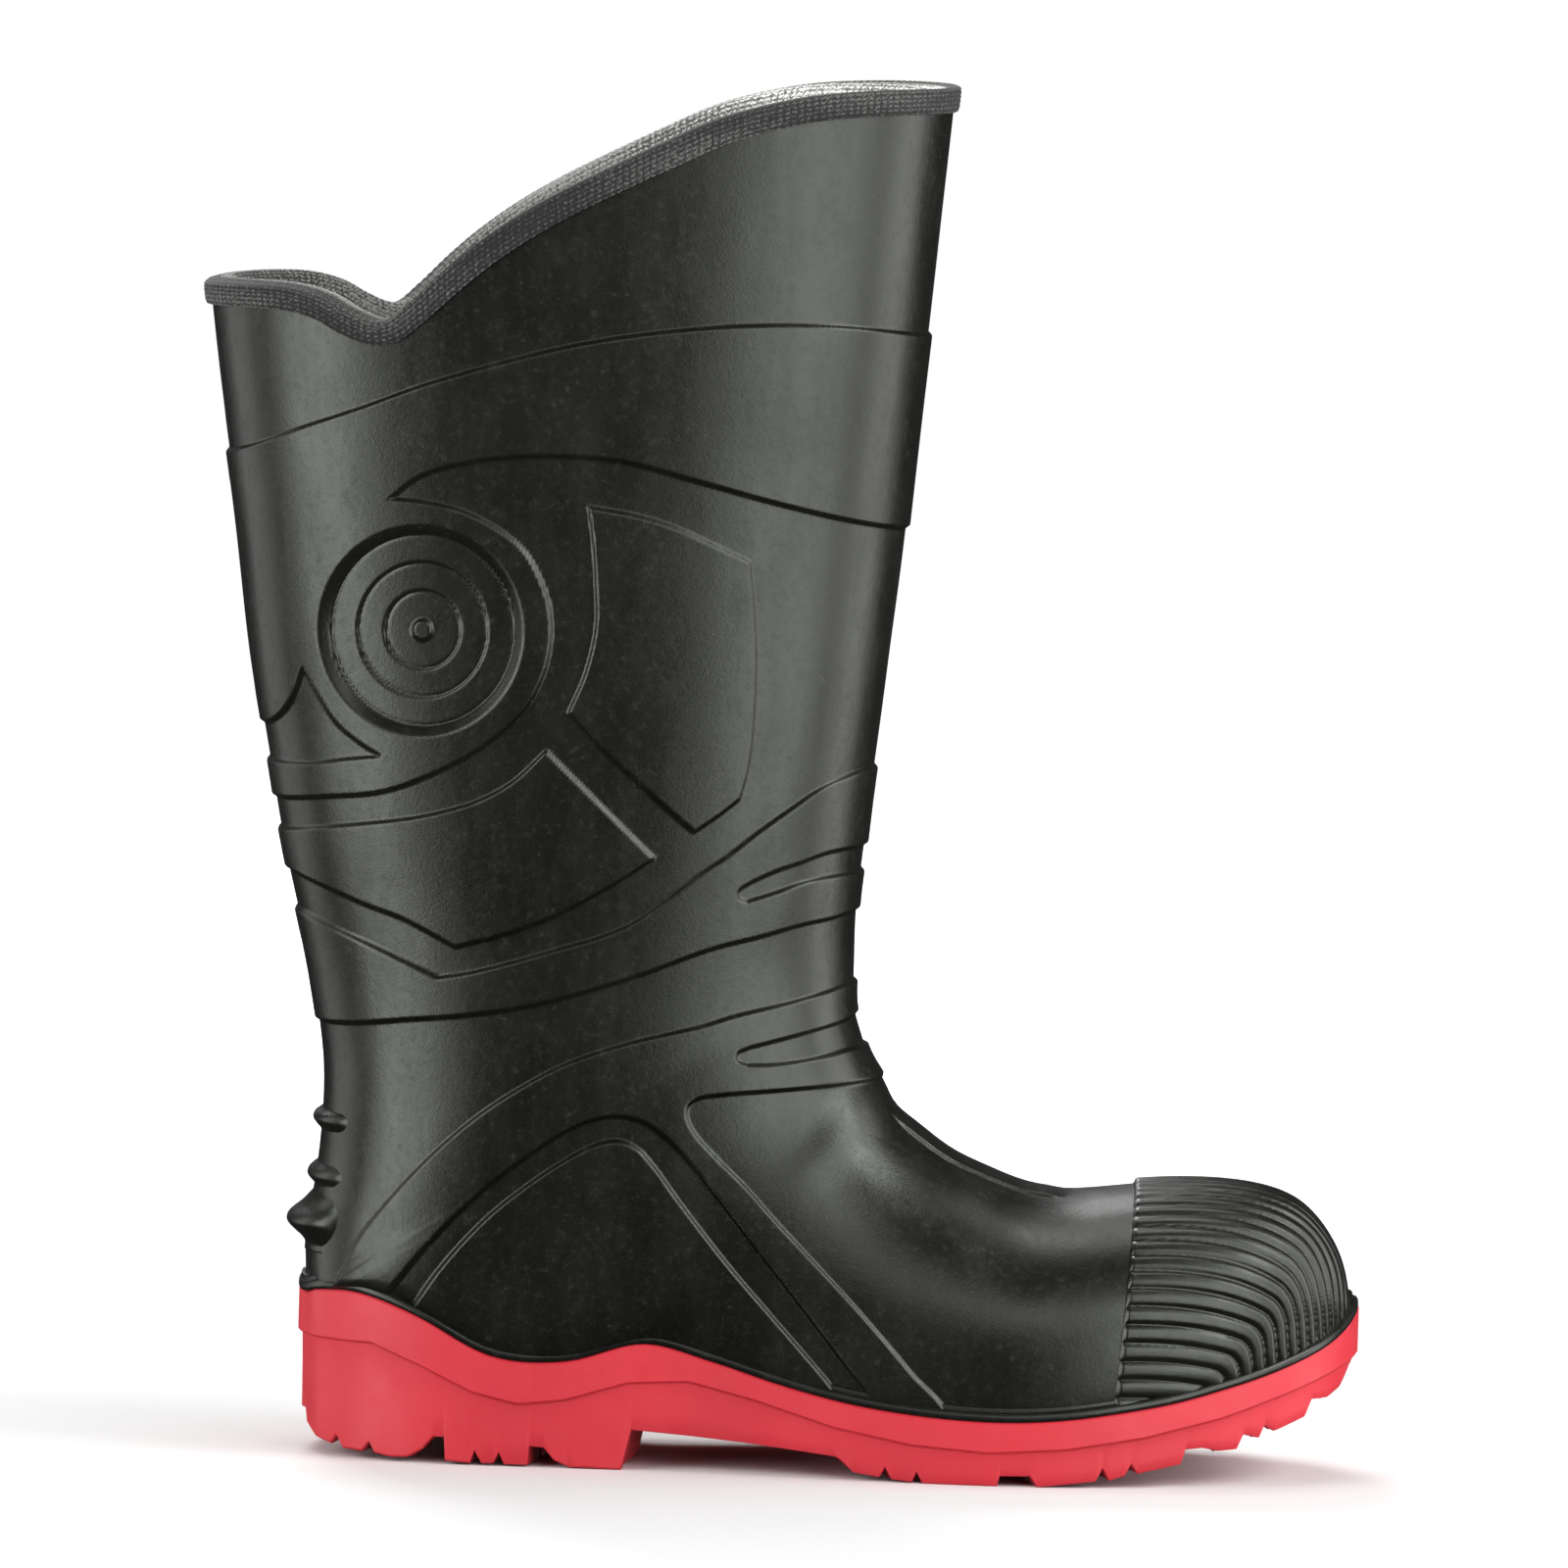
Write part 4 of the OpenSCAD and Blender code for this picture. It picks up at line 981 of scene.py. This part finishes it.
FOOTBED_SECTIONS = (6.0, 19.0)
FOOTBED_ROWS, FOOTBED_COLS = 120, 56
FOOTBED_LOW = 0.8 + 2.6 + 0.1 + GAP + LINING + 0.5     # over the upper's bottom: plate, board, lining, gaps
FOOTBED_IN = UPPER_WALL + CAP + GAP + LINING + 2.4
FOOTBED_THICK = 4.6
TOE_RADIUS, HEEL_RADIUS = 30.0, 26.0
QUILT, QUILT_DEPTH, QUILT_WIDTH = 8.0, 0.28, 0.55


def quilt(distance):
    """A channel in the middle of each square."""
    return QUILT_DEPTH * np.exp(-((np.mod(distance, QUILT) - QUILT / 2) / QUILT_WIDTH) ** 2)


def make_footbed():
    """Cut foam insole with a heel cup, rounded edges and stitched-looking channels."""
    u = np.linspace(*FOOTBED_SECTIONS, FOOTBED_ROWS)[:, None]
    s = section(u)
    mid = s[..., MIDDLE]
    back = s[..., [BACK_X, BACK_Z]]
    d = s[..., [FRONT_X, FRONT_Z]] - back
    d /= np.linalg.norm(d, axis=-1, keepdims=True)
    low = np.maximum(UPPER_WALL, s[..., THICK]) + FOOTBED_LOW
    run = lengths(back[:, 0])[:, None]
    ends = np.minimum(run, run[-1] - run)
    radius = np.where(run > run[-1] / 2, TOE_RADIUS, HEEL_RADIUS)
    round_end = np.sqrt(np.clip(1 - np.clip(1 - (ends + 0.4) / radius, 0, 1) ** 2, 0, 1))
    half = (s[..., LOW_HALF] - FOOTBED_IN) * (0.25 + 0.75 * round_end)
    t = np.sin(np.linspace(-math.pi / 2, math.pi / 2, FOOTBED_COLS))
    edge = np.minimum(1 - np.abs(t), ends / 30 + 0.02)
    crown = np.clip(smooth(edge / 0.12) * 0.9 + 0.1, 0.15, 1)
    heel = smooth((u - 14) / 3)
    cup = heel * 0.5 * t ** 2 - 0.25 * heel
    channels = -quilt(t * half + 100) - quilt(run)
    top = FOOTBED_THICK * crown - 0.75 + cup + channels * smooth(edge / 0.2)
    layers = []
    for height in (low + top, low + 0 * top):
        at = back + d * height[..., None]
        layers.append(np.stack([at[..., 0], mid + t * half, at[..., 1]], -1).reshape(-1, 3))
    return add_mesh("insole", np.vstack(layers), closed_faces(FOOTBED_ROWS, FOOTBED_COLS))


# ---- materials

class Shader:
    """A Principled material with short calls for its nodes, in object coordinates."""

    def __init__(self, name):
        self.material = bpy.data.materials.new(name)
        self.material.use_nodes = True
        self.tree = self.material.node_tree
        self.tree.nodes.clear()
        self.out = self.add("OutputMaterial")
        self.bsdf = self.add("BsdfPrincipled")
        self.link(self.bsdf.outputs[0], self.out.inputs["Surface"])
        self.place = self.add("TexCoord").outputs["Object"]
        self.bump_from = None

    def add(self, kind, **values):
        node = self.tree.nodes.new("ShaderNode" + kind)
        for key, value in values.items():
            setattr(node, key, value)
        return node

    def link(self, a, b):
        self.tree.links.new(a, b)

    def stretch(self, x, y, z):
        node = self.add("Mapping")
        node.inputs["Scale"].default_value = (x, y, z)
        self.link(self.place, node.inputs["Vector"])
        return node.outputs[0]

    def noise(self, scale, detail=3, rough=0.5, at=None):
        node = self.add("TexNoise")
        node.inputs["Scale"].default_value = scale
        node.inputs["Detail"].default_value = detail
        node.inputs["Roughness"].default_value = rough
        self.link(at or self.place, node.inputs["Vector"])
        return node.outputs["Fac"]

    def cells(self, scale, at=None, feature="F1"):
        node = self.add("TexVoronoi", feature=feature)
        node.inputs["Scale"].default_value = scale
        self.link(at or self.place, node.inputs["Vector"])
        return node.outputs["Distance"]

    def span(self, value, low, high, to_low=0.0, to_high=1.0):
        node = self.add("MapRange")
        node.interpolation_type = "SMOOTHSTEP"
        for key, number in zip(("From Min", "From Max", "To Min", "To Max"), (low, high, to_low, to_high)):
            node.inputs[key].default_value = number
        self.link(value, node.inputs["Value"])
        return node.outputs[0]

    def maths(self, kind, a, b):
        node = self.add("Math", operation=kind)
        for k, v in enumerate((a, b)):
            if isinstance(v, (int, float)):
                node.inputs[k].default_value = v
            else:
                self.link(v, node.inputs[k])
        return node.outputs[0]

    def blend(self, factor, a, b):
        node = self.add("Mix", data_type="RGBA")
        self.link(factor, node.inputs["Factor"])
        for key, v in ((6, a), (7, b)):
            if isinstance(v, tuple):
                node.inputs[key].default_value = (*v, 1)
            else:
                self.link(v, node.inputs[key])
        return node.outputs[2]

    def bump(self, height, millimetres, strength):
        node = self.add("Bump")
        node.inputs["Strength"].default_value = strength
        node.inputs["Distance"].default_value = millimetres / 1000
        self.link(height, node.inputs["Height"])
        if self.bump_from:
            self.link(self.bump_from, node.inputs["Normal"])
        self.bump_from = node.outputs[0]

    def attribute(self, name):
        return self.add("Attribute", attribute_name=name).outputs["Fac"]

    def done(self, colour, rough, **sockets):
        self.link(colour, self.bsdf.inputs["Base Color"])
        self.link(rough, self.bsdf.inputs["Roughness"])
        if self.bump_from:
            self.link(self.bump_from, self.bsdf.inputs["Normal"])
        for key, value in sockets.items():
            self.bsdf.inputs[key.replace("_", " ")].default_value = value
        return self.material


def black_rubber():
    s = Shader("black_moulded_rubber")
    blotch = s.noise(14, 5, 0.6)
    smear = s.noise(60, 6, 0.7, s.stretch(1.0, 1.0, 0.7))
    dust = s.noise(420, 6, 0.75)
    streak = s.noise(40, 4, 0.6, s.stretch(3.2, 3.2, 0.8))
    colour = s.blend(s.span(blotch, 0.35, 0.68), (0.0022, 0.0025, 0.0018), (0.0046, 0.0050, 0.0038))
    colour = s.blend(s.span(smear, 0.50, 0.72, 0, 0.45), colour, (0.0105, 0.0115, 0.0090))
    colour = s.blend(s.span(dust, 0.56, 0.74, 0, 0.55), colour, (0.019, 0.0205, 0.0165))
    rough = s.maths("ADD", s.span(streak, 0.3, 0.7, 0.30, 0.37), s.span(dust, 0.45, 0.75, 0.0, 0.12))
    s.bump(s.noise(26, 2, 0.4), 1.3, 0.30)
    s.bump(s.noise(700, 4, 0.65), 0.08, 0.6)
    s.bump(s.cells(1500), 0.035, 0.5)
    return s.done(colour, rough, IOR=1.46, Specular_Tint=(0.96, 1.0, 0.93, 1))


RED, BRIGHT_RED, GRIMY_RED = (0.425, 0.0135, 0.024), (0.48, 0.016, 0.028), (0.335, 0.0115, 0.020)


def red_rubber():
    s = Shader("red_moulded_rubber")
    blotch = s.noise(20, 4, 0.6)
    grime = s.noise(120, 5, 0.7)
    colour = s.blend(s.span(blotch, 0.3, 0.7), RED, BRIGHT_RED)
    colour = s.blend(s.span(grime, 0.62, 0.82, 0, 0.35), colour, GRIMY_RED)
    rough = s.span(grime, 0.3, 0.75, 0.46, 0.62)
    s.bump(s.noise(60, 3, 0.5), 0.5, 0.25)
    s.bump(s.noise(1100, 3, 0.6), 0.07, 0.6)
    return s.done(colour, rough, IOR=1.48)


def knit_binding():
    s = Shader("knitted_binding")
    # Weight of the inside colour: painted light on the inner face, faded towards the back as painted shade
    inside_painted_light_back_shade = s.attribute("inside_painted_light_back_shade")
    stitch = s.attribute("stitch")
    fuzz = s.noise(1300, 4, 0.7)
    tuft = s.cells(1100)
    # Stitch crowns painted lighter than the hollows between them, a painted highlight, with random fuzz
    # tone over it
    lit = s.maths("ADD", s.maths("MULTIPLY", stitch, 0.95), s.span(fuzz, 0.35, 0.7, -0.35, 0.20))
    dark = s.blend(s.span(lit, 0.25, 0.95), (0.0035, 0.0036, 0.0033), (0.085, 0.087, 0.081))
    # Inside colours: a paler fabric, made paler still as painted light from above
    light = s.blend(s.span(lit, 0.05, 0.65), (0.09, 0.091, 0.086), (0.84, 0.85, 0.81))
    colour = s.blend(inside_painted_light_back_shade, dark, light)
    colour = s.blend(s.span(tuft, 0.30, 0.05, 0, 0.35), colour, (0.0045, 0.0046, 0.0042))
    s.bump(s.noise(2600, 3, 0.6), 0.08, 0.7)
    return s.done(colour, s.span(fuzz, 0.3, 0.8, 0.80, 0.95), Sheen_Weight=0.04, Sheen_Roughness=0.5)


def knit_lining():
    s = Shader("knitted_lining")
    loops = s.cells(1000, s.stretch(1, 1, 0.7))
    course = s.noise(620, 4, 0.6)
    colour = s.blend(s.span(loops, 0.1, 0.6), (0.46, 0.455, 0.43), (0.23, 0.23, 0.215))
    colour = s.blend(s.span(course, 0.5, 0.8, 0, 0.5), colour, (0.30, 0.30, 0.285))
    s.bump(loops, 0.5, -0.8)
    s.bump(s.noise(1800, 3, 0.6), 0.1, 0.6)
    return s.done(colour, s.span(course, 0.3, 0.8, 0.82, 0.97), Sheen_Weight=0.3, Sheen_Roughness=0.6)


def pressed_steel():
    s = Shader("pressed_steel")
    grain = s.noise(500, 5, 0.7, s.stretch(0.06, 1, 1))
    spots = s.noise(45, 5, 0.6)
    colour = s.blend(s.span(spots, 0.35, 0.7), (0.50, 0.505, 0.515), (0.36, 0.37, 0.385))
    s.bump(grain, 0.04, 0.5)
    rough = s.maths("ADD", s.span(grain, 0.3, 0.7, 0.25, 0.4), s.span(spots, 0.4, 0.7, 0, 0.12))
    return s.done(colour, rough, Metallic=1.0)


def cut_foam():
    s = Shader("cut_foam_rubber")
    pores = s.cells(900)
    colour = s.blend(s.span(pores, 0.05, 0.5), (0.012, 0.012, 0.013), (0.045, 0.045, 0.047))
    s.bump(pores, 0.25, 0.8)
    return s.done(colour, s.span(pores, 0.1, 0.6, 0.95, 0.8))


def fibre_board():
    s = Shader("fibre_board")
    fibres = s.noise(300, 6, 0.75, s.stretch(0.25, 1, 1))
    flecks = s.noise(900, 3, 0.6)
    colour = s.blend(s.span(fibres, 0.3, 0.7), (0.36, 0.25, 0.14), (0.50, 0.38, 0.24))
    colour = s.blend(s.span(flecks, 0.62, 0.75, 0, 0.6), colour, (0.18, 0.12, 0.07))
    s.bump(fibres, 0.15, 0.6)
    return s.done(colour, s.span(fibres, 0.3, 0.7, 0.75, 0.92))


def insole_cloth():
    s = Shader("insole_cloth")
    weave = s.cells(1300, s.stretch(1, 1, 0.3))
    tone = s.noise(60, 4, 0.6)
    colour = s.blend(s.span(weave, 0.1, 0.6), (0.085, 0.090, 0.100), (0.030, 0.032, 0.037))
    colour = s.blend(s.span(tone, 0.5, 0.75, 0, 0.4), colour, (0.12, 0.125, 0.135))
    s.bump(weave, 0.3, -0.7)
    return s.done(colour, s.span(tone, 0.3, 0.7, 0.82, 0.95), Sheen_Weight=0.3, Sheen_Roughness=0.5)


FLOOR_GLOW = 0.98
FLOOR_NEAR, FLOOR_FAR = 0.30, 1.5       # metres between which the glow comes up


def studio_floor():
    """White paint that is lit near the boot and glows far away, where no lamp reaches."""
    s = Shader("floor_paint")
    tone = s.noise(0.8, 2, 0.5)
    colour = s.blend(s.span(tone, 0.3, 0.7), (0.70, 0.70, 0.70), (0.72, 0.72, 0.72))
    away = s.add("VectorMath", operation="LENGTH")
    s.link(s.place, away.inputs[0])
    glow = s.span(away.outputs["Value"], FLOOR_NEAR, FLOOR_FAR, 0.0, FLOOR_GLOW)
    s.link(glow, s.bsdf.inputs["Emission Strength"])
    rough = s.span(tone, 0.3, 0.7, 0.7, 0.75)
    return s.done(colour, rough, Emission_Color=(1, 1, 1, 1), Specular_IOR_Level=0.1)


# ---- putting it together

BLACK, STEEL = black_rubber(), pressed_steel()


def set_material(obj, material):
    obj.data.materials.clear()
    obj.data.materials.append(material)


def finish_piece(obj, body, material, node):
    set_material(obj, material)
    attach(obj, body)
    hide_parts(node)
    return obj


finish_piece(make_upper(), "boot", BLACK, "upper")
finish_piece(make_guard(), "boot", BLACK, "toe_guard")
finish_piece(make_ledges(), "boot", BLACK, "kick_ridges")
finish_piece(make_bead(), "boot", BLACK, "welt_bead")
finish_piece(make_sole(), "boot", red_rubber(), "outsole")
finish_piece(make_binding(), "boot", knit_binding(), "collar_binding")
finish_piece(make_lining(), "boot", knit_lining(), "lining")
insole = finish_piece(make_footbed(), "footbed", insole_cloth(), "footbed")

for node, made, slot in (("steel_toe_cap", STEEL, "steel"), ("steel_midsole", STEEL, "steel"),
                         ("ladder_shank", STEEL, "steel"), ("toe_cap_strip", cut_foam(), "strip_foam"),
                         ("insole_board", fibre_board(), "board")):
    set_material(NODES[node], made)

# ---- floor, light and camera

FLOOR_HALF = 60.0       # metres from here on
BACKDROP_SIDES, BACKDROP_AWAY = 64, 12.0
BACKDROP_FOOT, BACKDROP_TOP = -0.5, 5.0
AIM = (0, 0, 0.18)
# Soft boxes: name, place, width, height, watts
LIGHTS = (
    ("key_box", (1.15, -0.42, 1.22), 0.55, 0.7, 13),
    ("right_front_wall", (1.02, -1.10, 0.35), 1.2, 1.5, 28),
    ("right_back_wall", (1.5, 0.0, 0.35), 0.8, 1.5, 16),
    ("left_front_wall", (-1.2, -0.9, 0.35), 0.9, 1.5, 27),
    ("left_back_wall", (-1.45, 0.39, 0.35), 0.9, 1.5, 8),
    ("top_box", (0, 0.35, 1.9), 1.2, 0.7, 12),
    ("front_box", (0.2, -2.6, 1.6), 1.6, 1.0, 12),
    ("back_box", (-0.5, 1.6, 1.5), 0.9, 0.9, 30))
WORLD_STRENGTH = 0.03
LENS, SENSOR = 400, 36
DISTANCE, AIM_Z = 4.9383, 0.1923
ELEVATION, ROLL = math.radians(4.5), math.radians(1.7)


def add_object(name, data):
    obj = bpy.data.objects.new(name, data)
    bpy.context.scene.collection.objects.link(obj)
    return obj


def stage_mesh(name, pts, faces):
    """Part of the studio: left out of reflections."""
    mesh = bpy.data.meshes.new(name)
    mesh.from_pydata(pts, [], faces)
    mesh.materials.append(studio_floor())
    obj = add_object(name, mesh)
    obj.visible_glossy = False
    return obj


def make_floor():
    s = FLOOR_HALF
    stage_mesh("floor", [(-s, -s, 0), (s, -s, 0), (s, s, 0), (-s, s, 0)], [(0, 1, 2, 3)])


def make_backdrop():
    """A pale wall far away on all sides, seen by the camera alone."""
    n = BACKDROP_SIDES
    turn = np.linspace(0, 2 * math.pi, n, endpoint=False)
    ring = np.stack([np.cos(turn), np.sin(turn)], 1) * BACKDROP_AWAY
    pts = [(x, y, z) for z in (BACKDROP_FOOT, BACKDROP_TOP) for x, y in ring.tolist()]
    faces = [(i, (i + 1) % n, (i + 1) % n + n, i + n) for i in range(n)]
    stage_mesh("backdrop", pts, faces).visible_diffuse = False


def make_lights():
    for name, at, width, height, watts in LIGHTS:
        data = bpy.data.lights.new(name, "AREA")
        data.shape, data.size, data.size_y, data.energy = "RECTANGLE", width, height, watts
        data.spread = math.radians(180)
        obj = add_object(name, data)
        obj.location = at
        obj.rotation_euler = (Vector(AIM) - Vector(at)).to_track_quat("-Z", "Y").to_euler()
        obj.visible_camera = False
    world = bpy.data.worlds.new("studio")
    world.use_nodes = True
    background = world.node_tree.nodes["Background"]
    background.inputs["Color"].default_value = (1, 1, 1, 1)
    background.inputs["Strength"].default_value = WORLD_STRENGTH
    bpy.context.scene.world = world
    bpy.context.scene.view_settings.view_transform = "Standard"


def make_camera():
    data = bpy.data.cameras.new("camera")
    data.lens, data.sensor_width = LENS, SENSOR
    data.clip_start, data.clip_end = 0.1, 200
    camera = add_object("camera", data)
    camera.location = (0, -DISTANCE * math.cos(ELEVATION), AIM_Z + DISTANCE * math.sin(ELEVATION))
    camera.rotation_mode = "QUATERNION"
    level = Euler((math.pi / 2 - ELEVATION, 0, 0)).to_quaternion()
    camera.rotation_quaternion = level @ Quaternion((0, 0, 1), ROLL)
    bpy.context.scene.camera = camera


make_floor()
make_backdrop()
make_lights()
make_camera()
